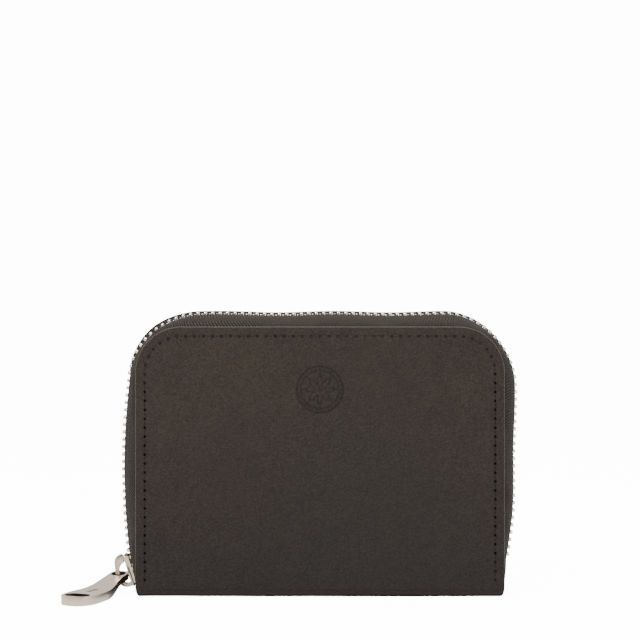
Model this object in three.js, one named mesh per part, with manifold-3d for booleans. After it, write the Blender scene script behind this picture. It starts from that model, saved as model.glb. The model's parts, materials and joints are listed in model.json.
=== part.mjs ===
// A zip-round coin purse: two leather panels folded up from one spine, a metal zip round three sides,
// a coin pocket in the middle and card slots on both linings.
// Millimetres, +Z up. The origin is the middle of the base; the front panel faces -Y and the zip's
// closed end, with the slider and its pull, is on the -X side.
import * as THREE from "three";
import { mergeVertices } from "three/addons/utils/BufferGeometryUtils.js";
import Module from "manifold-3d";

const wasm = await Module();
wasm.setup();

// ---- Driving dimensions ----
const PANEL = { width: 128, top: 93.7, depth: 25, leather: 1.5, topRadius: 16, bottomRadius: 2 };
const SPINE = { leather: 1.6, foldGap: 0.3 };
const LINING = { thickness: 0.5, inset: 1.2 };
const STIFFENER = { thickness: 0.5, tapeGap: 0.6 };
const LAYER_GAP = 0.05; // air between glued layers
const CARD = { gussetInset: 12, leather: 0.6, gap: 0.3, lowerTop: 52, upperTop: 66, radius: 4 };
const GUSSET = { inset: 6, fold: 13.3, leather: 0.6, top: 60 };
const POCKET = { depth: 6.4, leather: 0.6, top: 64, bottom: 3.6, sideFold: 6, radius: 5, gussetGap: 0.7 };

// The zip's path runs at mid-depth from the closed end at the lower left, up and over to the lower right.
const ZIP = {
  overhang: 4, // centre line past the panel's top edge
  sideOverhang: 4.1, // past its right edge
  runOverhang: 4.7, // past its left edge, at the middle of the slider's run
  cornerRadius: 24.7,
  runRadius: 250, // the slider's run is one gentle arc, bowed outwards
  bendTop: 16, // below this height the closed end bends in towards the spine
  leftEnd: { inset: 1, z: 2.6 }, // from the panel's edge inwards, and up from the ground
  rightEnd: { inset: 0.2, z: 4.5 },
};
const TAPE = { thickness: 0.5, seam: 9, flat: 1.7 };
const TOOTH = { pitch: 2.6, width: 1.1, halfHeight: 1.1, reach: 0.9 };
const CORD = { inner: 2.2, outer: 3.2 };
const WEDGE = { centre: -3.2, halfLength: 2.8, halfWidth: 1.05 };
const STOP = { length: 2.4, wedgeGap: 0.25, cordGap: 0.1, halfHeight: 0.7 };
const SLIDER = { length: 11.5, drop: 0.75, plate: 1, toothGap: 0.45, tapeGap: 0.55, wall: 0.7, shoulder: 0.6 };
const HOOK = { width: 1.9, reach: 4.85, pivot: 4.5, pivotRise: 3.5 }; // reach and pivot from the plate's face
const PULL = {
  swivel: 67, // degrees from straight out to lying towards the front
  reach: 32.3, // from the hook's bar to the wide end
  wideWidth: 12.5,
  neckRadius: 2.7,
  wideRadius: 5.6,
  neckSlot: { length: 3.9, width: 5.4, bar: 0.9, arm: 0.8 },
  wideSlot: { length: 5.4, width: 9.2, inset: 2.2 },
  neckThickness: 2.2,
  neckTilt: 11, // degrees down towards the wide end
  wideThickness: 3,
  neckZ: 5.2, // at the bar
  floorGap: 0.05,
};

const COLOUR = { leather: 0x463e36, lining: 0x5a4a3c, board: 0x8b8376, tape: 0x3b352e, nickel: 0xd9d1c6 };
const leatherMaterial = () => new THREE.MeshStandardMaterial({ color: COLOUR.leather, roughness: 0.55 });
const liningMaterial = () => new THREE.MeshStandardMaterial({ color: COLOUR.lining, roughness: 0.7 });
const boardMaterial = () => new THREE.MeshStandardMaterial({ color: COLOUR.board, roughness: 0.9 });
const tapeMaterial = () => new THREE.MeshStandardMaterial({ color: COLOUR.tape, roughness: 0.9 });
const nickelMaterial = () =>
  new THREE.MeshStandardMaterial({ color: COLOUR.nickel, roughness: 0.28, metalness: 1 });

// ---- Derived places ----
const halfDepth = PANEL.depth / 2;
const halfWidth = PANEL.width / 2;
const boardInset = TAPE.seam + STIFFENER.tapeGap;
const gussetReach = halfWidth - GUSSET.inset;
const cardHalfWidth = gussetReach - CARD.gussetInset;
const panelInner = halfDepth - PANEL.leather;
const boardOuter = panelInner - LAYER_GAP;
const boardInner = boardOuter - STIFFENER.thickness;
const liningOuter = boardInner - LAYER_GAP;
const liningInner = liningOuter - LINING.thickness;
const panelBottom = SPINE.leather + SPINE.foldGap;
const baseTop = SPINE.leather + LAYER_GAP + LINING.thickness;
const liningBottom = baseTop + SPINE.foldGap;
const zipTop = PANEL.top + ZIP.overhang;

const purse = new THREE.Group();

function addMesh(name, geometry, material, parent = purse) {
  const mesh = new THREE.Mesh(geometry, material);
  mesh.name = name;
  parent.add(mesh);
  return mesh;
}

// ---- Solids ----
function toSolid(geometry) {
  geometry.deleteAttribute("normal");
  geometry.deleteAttribute("uv");
  const merged = mergeVertices(geometry, 1e-4);
  return new wasm.Manifold(
    new wasm.Mesh({
      numProp: 3,
      vertProperties: merged.attributes.position.array,
      triVerts: new Uint32Array(merged.index.array),
    }),
  );
}

function toGeometry(solid) {
  const mesh = solid.getMesh();
  const geometry = new THREE.BufferGeometry();
  geometry.setAttribute("position", new THREE.BufferAttribute(mesh.vertProperties, 3));
  geometry.setIndex(new THREE.BufferAttribute(mesh.triVerts, 1));
  return geometry;
}

// A flat leaf: an outline in X and Z, filling the stretch of Y from y0 to y1.
function leaf(outline, y0, y1) {
  const geometry = new THREE.ExtrudeGeometry(outline, {
    depth: y1 - y0,
    bevelEnabled: false,
    curveSegments: 10,
  });
  geometry.rotateX(Math.PI / 2);
  geometry.translate(0, y1, 0);
  return geometry;
}

// The same leaf on the front (side -1) or the back (side 1), from its distances to the middle.
function sidedLeaf(outline, side, near, far) {
  return side < 0 ? leaf(outline, -far, -near) : leaf(outline, near, far);
}

// A plate with rounded corners, standing on its bottom edge.
function archOutline(halfW, bottom, top, topRadius, bottomRadius) {
  const quarter = Math.PI / 2;
  const outline = new THREE.Shape();
  outline.moveTo(bottomRadius - halfW, bottom);
  outline.lineTo(halfW - bottomRadius, bottom);
  outline.absarc(halfW - bottomRadius, bottom + bottomRadius, bottomRadius, -quarter, 0);
  outline.lineTo(halfW, top - topRadius);
  outline.absarc(halfW - topRadius, top - topRadius, topRadius, 0, quarter);
  outline.lineTo(topRadius - halfW, top);
  outline.absarc(topRadius - halfW, top - topRadius, topRadius, quarter, 2 * quarter);
  outline.lineTo(-halfW, bottom + bottomRadius);
  outline.absarc(bottomRadius - halfW, bottom + bottomRadius, bottomRadius, 2 * quarter, 3 * quarter);
  return outline;
}

// Facets given as quads, counter-clockwise from outside; a mirrored set is turned round.
class Facets {
  constructor(mirrored = false) {
    this.mirrored = mirrored;
    this.points = [];
  }

  quad(...corners) {
    const [a, b, c, d] = this.mirrored ? corners.reverse() : corners;
    for (const p of [a, b, c, a, c, d]) this.points.push(p.x, p.y, p.z);
  }

  geometry() {
    const loose = new THREE.BufferGeometry();
    loose.setAttribute("position", new THREE.Float32BufferAttribute(this.points, 3));
    return mergeVertices(loose, 1e-4);
  }
}

// ---- The zip's path and the panel's rim, each in five stretches that go together ----
const cornerZ = zipTop - ZIP.cornerRadius;
const runZ = (ZIP.bendTop + cornerZ) / 2;
const runCentreX = ZIP.runRadius - halfWidth - ZIP.runOverhang;
const sideX = halfWidth + ZIP.sideOverhang;
const leftCornerX =
  runCentreX - Math.sqrt((ZIP.runRadius - ZIP.cornerRadius) ** 2 - (cornerZ - runZ) ** 2);
const rightCornerX = sideX - ZIP.cornerRadius;
const runEndAngle = Math.atan2(cornerZ - runZ, leftCornerX - runCentreX);
const runStartAngle = Math.PI + Math.asin((runZ - ZIP.bendTop) / ZIP.runRadius);

function arc(x, z, radius, from, to) {
  return new THREE.EllipseCurve(x, z, radius, radius, from, to, to < from);
}

const run = arc(runCentreX, runZ, ZIP.runRadius, runStartAngle, runEndAngle);
const bendStart = run.getPoint(0);
const bendControl = bendStart.clone().addScaledVector(run.getTangent(0), -0.4 * (ZIP.bendTop - ZIP.leftEnd.z));
const leftEnd = new THREE.Vector2(ZIP.leftEnd.inset - halfWidth, ZIP.leftEnd.z);
const rightEnd = new THREE.Vector2(halfWidth - ZIP.rightEnd.inset, ZIP.rightEnd.z);
const rightTop = new THREE.Vector2(sideX, cornerZ);
const rightFall = cornerZ - ZIP.rightEnd.z;

const zipCurves = [
  new THREE.QuadraticBezierCurve(leftEnd, bendControl, bendStart),
  run,
  arc(leftCornerX, cornerZ, ZIP.cornerRadius, runEndAngle, Math.PI / 2),
  new THREE.LineCurve(new THREE.Vector2(leftCornerX, zipTop), new THREE.Vector2(rightCornerX, zipTop)),
  arc(rightCornerX, cornerZ, ZIP.cornerRadius, Math.PI / 2, 0),
  new THREE.CubicBezierCurve(
    rightTop,
    new THREE.Vector2(sideX, cornerZ - 0.4 * rightFall),
    new THREE.Vector2(sideX, cornerZ - 0.77 * rightFall),
    rightEnd,
  ),
];

const rimCornerX = halfWidth - PANEL.topRadius;
const rimCornerZ = PANEL.top - PANEL.topRadius;
const rimCurves = [
  new THREE.LineCurve(
    new THREE.Vector2(-halfWidth, ZIP.leftEnd.z + 2),
    new THREE.Vector2(-halfWidth, ZIP.bendTop),
  ),
  new THREE.LineCurve(new THREE.Vector2(-halfWidth, ZIP.bendTop), new THREE.Vector2(-halfWidth, rimCornerZ)),
  arc(-rimCornerX, rimCornerZ, PANEL.topRadius, Math.PI, Math.PI / 2),
  new THREE.LineCurve(new THREE.Vector2(-rimCornerX, PANEL.top), new THREE.Vector2(rimCornerX, PANEL.top)),
  arc(rimCornerX, rimCornerZ, PANEL.topRadius, Math.PI / 2, 0),
  new THREE.LineCurve(
    new THREE.Vector2(halfWidth, rimCornerZ),
    new THREE.Vector2(halfWidth, ZIP.rightEnd.z),
  ),
];
const STRETCH_STEPS = [5, 6, 10, 3, 10, 9];

const zipLengths = zipCurves.map((curve) => curve.getLength());
const zipLength = zipLengths.reduce((sum, length) => sum + length, 0);

// Position and outward normal on the zip's centre line, at an arc length from the closed end.
function onZip(distance) {
  let rest = Math.min(Math.max(distance, 0), zipLength);
  let index = 0;
  while (index < zipCurves.length - 1 && rest > zipLengths[index]) {
    rest -= zipLengths[index];
    index += 1;
  }
  return stationOf(zipCurves[index], Math.min(rest / zipLengths[index], 1));
}

function stationOf(curve, u) {
  const point = curve.getPointAt(u);
  const tangent = curve.getTangentAt(u);
  return { point, tangent, normal: new THREE.Vector2(-tangent.y, tangent.x) };
}

// A point off a station: outwards along its normal, at a height y across the purse.
function offStation(station, outward, y) {
  const { point, normal } = station;
  return new THREE.Vector3(point.x + outward * normal.x, y, point.y + outward * normal.y);
}

// ---- Panels, boards, linings and card slots, front and back ----
const panelOutline = archOutline(halfWidth, panelBottom, PANEL.top, PANEL.topRadius, PANEL.bottomRadius);
const boardOutline = archOutline(
  halfWidth - boardInset,
  liningBottom,
  PANEL.top - boardInset,
  PANEL.topRadius - boardInset,
  PANEL.bottomRadius,
);
const liningOutline = archOutline(
  halfWidth - LINING.inset,
  liningBottom,
  PANEL.top - LINING.inset,
  PANEL.topRadius - LINING.inset,
  PANEL.bottomRadius,
);
const cardBottom = liningBottom + SPINE.foldGap;
const upperCardFar = liningInner - LAYER_GAP;
const upperCardNear = upperCardFar - CARD.leather;
const lowerCardFar = upperCardNear - CARD.gap;
const lowerCardNear = lowerCardFar - CARD.leather;

for (const [label, side] of [
  ["front", -1],
  ["back", 1],
]) {
  addMesh(label + "_panel", sidedLeaf(panelOutline, side, panelInner, halfDepth), leatherMaterial());
  addMesh(label + "_stiffener", sidedLeaf(boardOutline, side, boardInner, boardOuter), boardMaterial());
  addMesh(label + "_lining", sidedLeaf(liningOutline, side, liningInner, liningOuter), liningMaterial());
  const upper = archOutline(cardHalfWidth, cardBottom, CARD.upperTop, CARD.radius, PANEL.bottomRadius);
  const lower = archOutline(cardHalfWidth, cardBottom, CARD.lowerTop, CARD.radius, PANEL.bottomRadius);
  addMesh(label + "_card_slot_upper", sidedLeaf(upper, side, upperCardNear, upperCardFar), leatherMaterial());
  addMesh(label + "_card_slot_lower", sidedLeaf(lower, side, lowerCardNear, lowerCardFar), leatherMaterial());
}

// ---- Spine: the strip of the same leather between the two folds, and its lining ----
function slab(width, depth, bottom, top) {
  const geometry = new THREE.BoxGeometry(width, depth, top - bottom);
  geometry.translate(0, 0, (bottom + top) / 2);
  return geometry;
}

addMesh("spine", slab(PANEL.width - 2, PANEL.depth, 0, SPINE.leather), leatherMaterial());
const baseLining = slab(
  PANEL.width - 2 * boardInset,
  2 * (liningInner - LAYER_GAP),
  SPINE.leather + LAYER_GAP,
  baseTop,
);
addMesh("base_lining", baseLining, liningMaterial());

// ---- Coin pocket: two walls, a base and two folded sides ----
const pocketHalfWidth = gussetReach - GUSSET.fold - POCKET.gussetGap;
const pocketHalf = POCKET.depth / 2;
const pocketInner = pocketHalf - POCKET.leather;
const pocketOutline = archOutline(
  pocketHalfWidth,
  POCKET.bottom,
  POCKET.top,
  POCKET.radius,
  PANEL.bottomRadius,
);
addMesh("coin_pocket_front", sidedLeaf(pocketOutline, -1, pocketInner, pocketHalf), leatherMaterial());
addMesh("coin_pocket_back", sidedLeaf(pocketOutline, 1, pocketInner, pocketHalf), leatherMaterial());
const pocketBase = slab(
  2 * (pocketHalfWidth - PANEL.bottomRadius),
  2 * (pocketInner - LAYER_GAP),
  POCKET.bottom,
  POCKET.bottom + POCKET.leather,
);
addMesh("coin_pocket_base", pocketBase, leatherMaterial());

// A strip folded in a zigzag, seen from above: its centre line is offset to both sides by half a thickness.
function zigzagOutline(points, thickness) {
  const half = thickness / 2;
  const normals = points.slice(1).map((p, i) => {
    const along = p.clone().sub(points[i]).normalize();
    return new THREE.Vector2(-along.y, along.x);
  });
  const offset = (sign) =>
    points.map((p, i) => {
      const before = normals[Math.max(i - 1, 0)];
      const after = normals[Math.min(i, normals.length - 1)];
      const mitre = before.clone().add(after).normalize();
      return p.clone().addScaledVector(mitre, (sign * half) / mitre.dot(after));
    });
  return new THREE.Shape([...offset(1), ...offset(-1).reverse()]);
}

function standingStrip(points, thickness, bottom, top) {
  const geometry = new THREE.ExtrudeGeometry(zigzagOutline(points, thickness), {
    depth: top - bottom,
    bevelEnabled: false,
  });
  geometry.translate(0, 0, bottom);
  return geometry;
}

const sideBottom = POCKET.bottom + POCKET.leather + LAYER_GAP;
const gussetBottom = cardBottom;
for (const [label, side] of [
  ["left", -1],
  ["right", 1],
]) {
  const edge = side * (pocketHalfWidth - POCKET.leather);
  const reach = pocketInner - POCKET.leather;
  const fold = [
    new THREE.Vector2(edge, -reach),
    new THREE.Vector2(edge - side * POCKET.sideFold, 0),
    new THREE.Vector2(edge, reach),
  ];
  const pocketSide = standingStrip(fold, POCKET.leather, sideBottom, POCKET.top - POCKET.radius);
  addMesh("coin_pocket_side_" + label, pocketSide, leatherMaterial());

  const legY = (liningInner - GUSSET.leather) / 2;
  const folds = [-2, -1, 0, 1, 2].map((step) => {
    const inward = step % 2 === 0 ? 0 : GUSSET.fold;
    return new THREE.Vector2(side * (gussetReach - inward), step * legY);
  });
  addMesh(
    label + "_gusset",
    standingStrip(folds, GUSSET.leather, gussetBottom, GUSSET.top),
    leatherMaterial(),
  );
}

// ---- Zip tapes: sewn flat inside the panel's rim, then curving out to the chain ----
function tapeGeometry(side) {
  const half = TAPE.thickness / 2;
  const seamOuter = side * boardOuter;
  const seamInner = side * (boardOuter - TAPE.thickness);
  const chainY = side * (CORD.outer + STOP.cordGap);
  const flatY = side * (CORD.outer + TAPE.flat);
  const stations = [];
  zipCurves.forEach((curve, index) => {
    const steps = STRETCH_STEPS[index];
    for (let k = index ? 1 : 0; k <= steps; k++) {
      const zip = stationOf(curve, k / steps);
      const rim = stationOf(rimCurves[index], k / steps);
      const between = zip.point.clone().sub(rim.point).multiplyScalar(0.3);
      stations.push({
        outer: [
          offStation(zip, half, chainY),
          offStation(zip, half, flatY),
          offStation(rim, 0.6, side * (boardOuter - 1.75)).add(new THREE.Vector3(between.x, 0, between.y)),
          offStation(rim, -0.6, seamOuter),
          offStation(rim, -TAPE.seam, seamOuter),
        ],
        inner: [
          offStation(zip, -half, chainY),
          offStation(zip, -half, flatY),
          offStation(rim, 0.2, side * (boardOuter - 2.15)).add(new THREE.Vector3(between.x, 0, between.y)),
          offStation(rim, -0.9, seamInner),
          offStation(rim, -TAPE.seam, seamInner),
        ],
      });
    }
  });
  const facets = new Facets(side < 0);
  const last = stations[0].outer.length - 1;
  for (let k = 0; k + 1 < stations.length; k++) {
    const a = stations[k];
    const b = stations[k + 1];
    for (let i = 0; i < last; i++) {
      facets.quad(a.outer[i], b.outer[i], b.outer[i + 1], a.outer[i + 1]);
      facets.quad(a.inner[i + 1], b.inner[i + 1], b.inner[i], a.inner[i]);
    }
    facets.quad(a.inner[0], b.inner[0], b.outer[0], a.outer[0]);
    facets.quad(a.outer[last], b.outer[last], b.inner[last], a.inner[last]);
  }
  const first = stations[0];
  const end = stations[stations.length - 1];
  for (let i = 0; i < last; i++) {
    facets.quad(first.inner[i], first.outer[i], first.outer[i + 1], first.inner[i + 1]);
    facets.quad(end.outer[i], end.inner[i], end.inner[i + 1], end.outer[i + 1]);
  }
  return facets.geometry();
}

// ---- Zip chain: a row of teeth clinched on the tape's cord, a flat comb bent round the path ----
const sliderAt = zipLengths[0] / 2;
const chainStart = 0.6;
const firstTooth = sliderAt + 0.3;
const lastTooth = zipLength - 5;
const toothCount = Math.floor((lastTooth - firstTooth) / TOOTH.pitch);

function chainGeometry(side) {
  const facets = new Facets(side < 0);
  const phase = side < 0 ? 0 : TOOTH.pitch / 2;
  const at = ([s, y], level) => offStation(onZip(s), level * TOOTH.halfHeight, side * y);
  const starts = Array.from({ length: toothCount }, (_, k) => firstTooth + phase + k * TOOTH.pitch);
  const plate = (...corners) => {
    facets.quad(...corners.map((p) => at(p, 1)));
    facets.quad(...corners.map((p) => at(p, -1)).reverse());
  };
  const wall = (from, to) => facets.quad(at(from, -1), at(to, -1), at(to, 1), at(from, 1));
  const cordPiece = (s0, s1, openInside) => {
    plate([s0, CORD.inner], [s1, CORD.inner], [s1, CORD.outer], [s0, CORD.outer]);
    wall([s1, CORD.outer], [s0, CORD.outer]);
    if (openInside) wall([s0, CORD.inner], [s1, CORD.inner]);
  };
  const breaks = [];
  for (let s = chainStart; s < starts[0]; s += TOOTH.pitch) breaks.push(s);
  breaks.push(starts[0]);
  for (let i = 0; i + 1 < breaks.length; i++) cordPiece(breaks[i], breaks[i + 1], true);
  wall([chainStart, CORD.outer], [chainStart, CORD.inner]);
  starts.forEach((s0, k) => {
    const s1 = s0 + TOOTH.width;
    cordPiece(s0, s1, false);
    plate([s0, -TOOTH.reach], [s1, -TOOTH.reach], [s1, CORD.inner], [s0, CORD.inner]);
    wall([s0, CORD.inner], [s0, -TOOTH.reach]);
    wall([s0, -TOOTH.reach], [s1, -TOOTH.reach]);
    wall([s1, -TOOTH.reach], [s1, CORD.inner]);
    const next = k + 1 < starts.length ? starts[k + 1] : s1 + TOOTH.width;
    cordPiece(s1, next, true);
  });
  const chainEnd = starts[starts.length - 1] + 2 * TOOTH.width;
  wall([chainEnd, CORD.inner], [chainEnd, CORD.outer]);
  return facets.geometry();
}

for (const [label, side] of [
  ["front", -1],
  ["back", 1],
]) {
  addMesh(label + "_zip_tape", tapeGeometry(side), tapeMaterial());
  addMesh(label + "_zip_chain", chainGeometry(side), nickelMaterial());
}

// A group on the zip's path: its +Z runs along the zip and its -X points out of the purse on the left.
function groupOnZip(distance) {
  const { point, tangent } = onZip(distance);
  const group = new THREE.Group();
  group.position.set(point.x, 0, point.y);
  group.rotation.y = Math.atan2(tangent.x, tangent.y);
  purse.add(group);
  return group;
}

// ---- Stops: a crimp on each tape at the closed end, and one box across both at the other end ----
const stopGroup = groupOnZip(sliderAt + WEDGE.centre);
const stopOuter = CORD.inner - STOP.cordGap;
const stopInner = WEDGE.halfWidth + STOP.wedgeGap;
for (const [label, side] of [
  ["front", -1],
  ["back", 1],
]) {
  const crimp = new THREE.BoxGeometry(2 * STOP.halfHeight, stopOuter - stopInner, STOP.length);
  crimp.translate(0, (side * (stopOuter + stopInner)) / 2, 0);
  addMesh(label + "_top_stop", crimp, nickelMaterial(), stopGroup);
}
const boxGroup = groupOnZip(zipLength - 2.2);
addMesh(
  "bottom_stop",
  new THREE.BoxGeometry(2 * STOP.halfHeight, 2 * stopOuter, STOP.length),
  nickelMaterial(),
  boxGroup,
);

// ---- Slider: two plates joined by a wedge, lips that hold the chain, and a hook for the pull ----
const channelHalf = TOOTH.halfHeight + SLIDER.toothGap;
const lipHalf = TAPE.thickness / 2 + SLIDER.tapeGap;
const plateOuter = channelHalf + SLIDER.plate;
const upperHalf = CORD.outer + SLIDER.wall;
const lowerHalf = upperHalf + SLIDER.shoulder;
const sliderBottom = -SLIDER.length / 2 - SLIDER.drop;
const sliderTop = sliderBottom + SLIDER.length;

// Lays a shape drawn in Y and Z on its side, thick from x0 to x1.
function crossPlate(shape, x0, x1) {
  const geometry = new THREE.ExtrudeGeometry(shape, { depth: x1 - x0, bevelEnabled: false, curveSegments: 6 });
  const turned = new THREE.Matrix4().makeBasis(
    new THREE.Vector3(0, 1, 0),
    new THREE.Vector3(0, 0, 1),
    new THREE.Vector3(1, 0, 0),
  );
  geometry.applyMatrix4(turned);
  geometry.translate(x0, 0, 0);
  return geometry;
}

function plateShape() {
  const upper = upperHalf;
  const lower = lowerHalf;
  const shoulder = sliderBottom + 0.45 * SLIDER.length;
  const shape = new THREE.Shape();
  shape.moveTo(-0.55 * lower, sliderBottom);
  shape.lineTo(0.55 * lower, sliderBottom);
  shape.quadraticCurveTo(lower, sliderBottom, lower, sliderBottom + 2);
  shape.lineTo(lower, shoulder);
  shape.lineTo(upper, shoulder + 2);
  shape.lineTo(upper, sliderTop - 1);
  shape.quadraticCurveTo(upper, sliderTop, upper - 1, sliderTop);
  shape.lineTo(1 - upper, sliderTop);
  shape.quadraticCurveTo(-upper, sliderTop, -upper, sliderTop - 1);
  shape.lineTo(-upper, shoulder + 2);
  shape.lineTo(-lower, shoulder);
  shape.lineTo(-lower, sliderBottom + 2);
  shape.quadraticCurveTo(-lower, sliderBottom, -0.55 * lower, sliderBottom);
  return shape;
}

function wedgeShape() {
  const { centre, halfLength, halfWidth: half } = WEDGE;
  return new THREE.Shape([
    new THREE.Vector2(0, centre - halfLength),
    new THREE.Vector2(half, centre),
    new THREE.Vector2(0, centre + halfLength),
    new THREE.Vector2(-half, centre),
  ]);
}

// The hook's side outline: out from the plate's lower end, up past the pull's slot, and back to the plate.
function hookShape() {
  const at = (out, up) => [-plateOuter - out, sliderBottom + up];
  const { reach } = HOOK;
  const shape = new THREE.Shape();
  shape.moveTo(...at(-0.4, 0.2));
  shape.bezierCurveTo(...at(3, -0.7), ...at(reach, 1.1), ...at(reach, 4.1));
  shape.bezierCurveTo(...at(reach, 6.5), ...at(reach - 0.55, 7.9), ...at(reach - 0.75, 9.7));
  shape.bezierCurveTo(...at(reach - 1.25, 11.3), ...at(2.2, 12), ...at(0.9, 11.9));
  shape.lineTo(...at(0.55, 9.8));
  shape.quadraticCurveTo(...at(0.6, 8.7), ...at(1.2, 8.5));
  shape.quadraticCurveTo(...at(2.6, 8.1), ...at(reach - 1.75, 6.7));
  shape.bezierCurveTo(...at(reach - 1.35, 4.9), ...at(reach - 1.45, 2.9), ...at(2.4, 1.9));
  shape.quadraticCurveTo(...at(1.6, 1.3), ...at(-0.4, 1.5));
  return shape;
}

const lipWidth = 0.55;
function lipBlock(side, x0, x1) {
  const y = side * (upperHalf - lipWidth / 2);
  const length = 0.9 * SLIDER.length;
  const block = new THREE.BoxGeometry(x1 - x0, lipWidth, length);
  block.translate((x0 + x1) / 2, y, sliderTop - length / 2 - 0.3);
  return block;
}

let sliderSolid = toSolid(crossPlate(plateShape(), -plateOuter, -channelHalf))
  .add(toSolid(crossPlate(plateShape(), channelHalf, plateOuter)))
  .add(toSolid(crossPlate(wedgeShape(), -plateOuter + 0.2, plateOuter - 0.2)));
for (const side of [-1, 1]) {
  sliderSolid = sliderSolid
    .add(toSolid(lipBlock(side, lipHalf, channelHalf + 0.3)))
    .add(toSolid(lipBlock(side, -channelHalf - 0.3, -lipHalf)));
}
sliderSolid = sliderSolid.add(toSolid(leaf(hookShape(), -HOOK.width / 2, HOOK.width / 2)));

const sliderGroup = groupOnZip(sliderAt);
addMesh("slider_body", toGeometry(sliderSolid), nickelMaterial(), sliderGroup);

// ---- Pull: an S-bent plate whose neck slot rings the hook's bar and whose wide end lies flat ----
const barLocal = new THREE.Vector3(-plateOuter - HOOK.pivot, 0, sliderBottom + HOOK.pivotRise);
purse.updateMatrixWorld(true);
const bar = sliderGroup.localToWorld(barLocal);
const barToSlot = PULL.neckSlot.length / 2; // the bar stands in the middle of the neck slot

function pullPlan() {
  const neck = PULL.neckSlot.width / 2 + PULL.neckSlot.arm;
  const wide = PULL.wideWidth / 2;
  const back = -barToSlot - PULL.neckSlot.bar;
  const shape = new THREE.Shape();
  shape.moveTo(back, PULL.neckRadius - neck);
  shape.quadraticCurveTo(back, -neck, back + PULL.neckRadius, -neck);
  shape.lineTo(barToSlot + 1, -neck);
  shape.bezierCurveTo(9, -neck, 14, -wide, PULL.reach - PULL.wideRadius - 2, -wide);
  shape.bezierCurveTo(PULL.reach - 2, -wide, PULL.reach, 3 - wide, PULL.reach, 0);
  shape.bezierCurveTo(PULL.reach, wide - 3, PULL.reach - 2, wide, PULL.reach - PULL.wideRadius - 2, wide);
  shape.bezierCurveTo(14, wide, 9, neck, barToSlot + 1, neck);
  shape.lineTo(back + PULL.neckRadius, neck);
  shape.quadraticCurveTo(back, neck, back, neck - PULL.neckRadius);
  shape.holes.push(stadium(0, PULL.neckSlot.length, PULL.neckSlot.width));
  const { length, width, inset } = PULL.wideSlot;
  shape.holes.push(stadium(PULL.reach - inset - length / 2, length, width));
  return shape;
}

function stadium(centre, length, width) {
  const radius = length / 2;
  const flat = width / 2 - radius;
  const hole = new THREE.Path();
  hole.moveTo(centre - radius, -flat);
  hole.absarc(centre, -flat, radius, Math.PI, 2 * Math.PI);
  hole.absarc(centre, flat, radius, 0, Math.PI);
  hole.lineTo(centre - radius, -flat);
  return hole;
}

// The bend, seen from the side: the neck lies level at the bar and the wide end rests on the ground.
function pullSide() {
  const neckHalf = PULL.neckThickness / 2;
  const slope = Math.tan(THREE.MathUtils.degToRad(PULL.neckTilt));
  const neckAt = (x, half) => [x, PULL.neckZ - slope * x + half];
  const neckEnd = barToSlot + 1;
  const bendEnd = 17;
  const flatTop = PULL.floorGap + PULL.wideThickness;
  const back = -barToSlot - PULL.neckSlot.bar - 1;
  const end = PULL.reach + 1;
  const shape = new THREE.Shape();
  shape.moveTo(...neckAt(back, -neckHalf));
  shape.lineTo(...neckAt(neckEnd, -neckHalf));
  shape.bezierCurveTo(...neckAt(neckEnd + 5, -neckHalf), bendEnd - 7, PULL.floorGap, bendEnd, PULL.floorGap);
  shape.lineTo(end, PULL.floorGap);
  shape.lineTo(end, flatTop);
  shape.lineTo(bendEnd, flatTop);
  shape.bezierCurveTo(bendEnd - 7, flatTop, ...neckAt(neckEnd + 5, neckHalf), ...neckAt(neckEnd, neckHalf));
  shape.lineTo(...neckAt(back, neckHalf));
  return shape;
}

const planSolid = toSolid(
  new THREE.ExtrudeGeometry(pullPlan(), { depth: 12, bevelEnabled: false, curveSegments: 8 }).translate(0, 0, -1),
);
const sideGeometry = new THREE.ExtrudeGeometry(pullSide(), {
  depth: PULL.wideWidth + 2,
  bevelEnabled: false,
  curveSegments: 8,
});
sideGeometry.rotateX(Math.PI / 2);
sideGeometry.translate(0, PULL.wideWidth / 2 + 1, 0);
const pullGroup = new THREE.Group();
pullGroup.position.set(bar.x, bar.y, 0);
pullGroup.rotation.z = Math.PI + THREE.MathUtils.degToRad(PULL.swivel);
purse.add(pullGroup);
addMesh("pull_tab", toGeometry(planSolid.intersect(toSolid(sideGeometry))), nickelMaterial(), pullGroup);

export default purse;
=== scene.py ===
import json
import math

import bmesh
import bpy
import numpy as np
from mathutils import Matrix, Vector, noise


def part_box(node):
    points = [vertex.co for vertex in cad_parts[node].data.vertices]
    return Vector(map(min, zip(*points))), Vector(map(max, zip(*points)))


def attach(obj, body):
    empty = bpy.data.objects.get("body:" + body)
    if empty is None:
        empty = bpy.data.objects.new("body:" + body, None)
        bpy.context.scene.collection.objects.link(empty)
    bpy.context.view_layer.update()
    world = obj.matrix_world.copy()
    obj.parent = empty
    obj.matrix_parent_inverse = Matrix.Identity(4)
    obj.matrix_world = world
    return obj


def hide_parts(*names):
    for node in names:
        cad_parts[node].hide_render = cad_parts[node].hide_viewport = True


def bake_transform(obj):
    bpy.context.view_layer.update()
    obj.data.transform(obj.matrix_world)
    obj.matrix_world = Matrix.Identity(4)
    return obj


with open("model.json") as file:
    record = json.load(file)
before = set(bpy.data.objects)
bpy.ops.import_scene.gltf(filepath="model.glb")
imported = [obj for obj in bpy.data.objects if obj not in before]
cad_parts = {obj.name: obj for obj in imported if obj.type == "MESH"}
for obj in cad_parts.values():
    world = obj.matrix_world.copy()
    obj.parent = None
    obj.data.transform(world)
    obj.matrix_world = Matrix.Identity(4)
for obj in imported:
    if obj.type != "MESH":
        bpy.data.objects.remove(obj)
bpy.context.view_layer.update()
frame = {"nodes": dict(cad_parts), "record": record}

MM = 0.001

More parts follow.
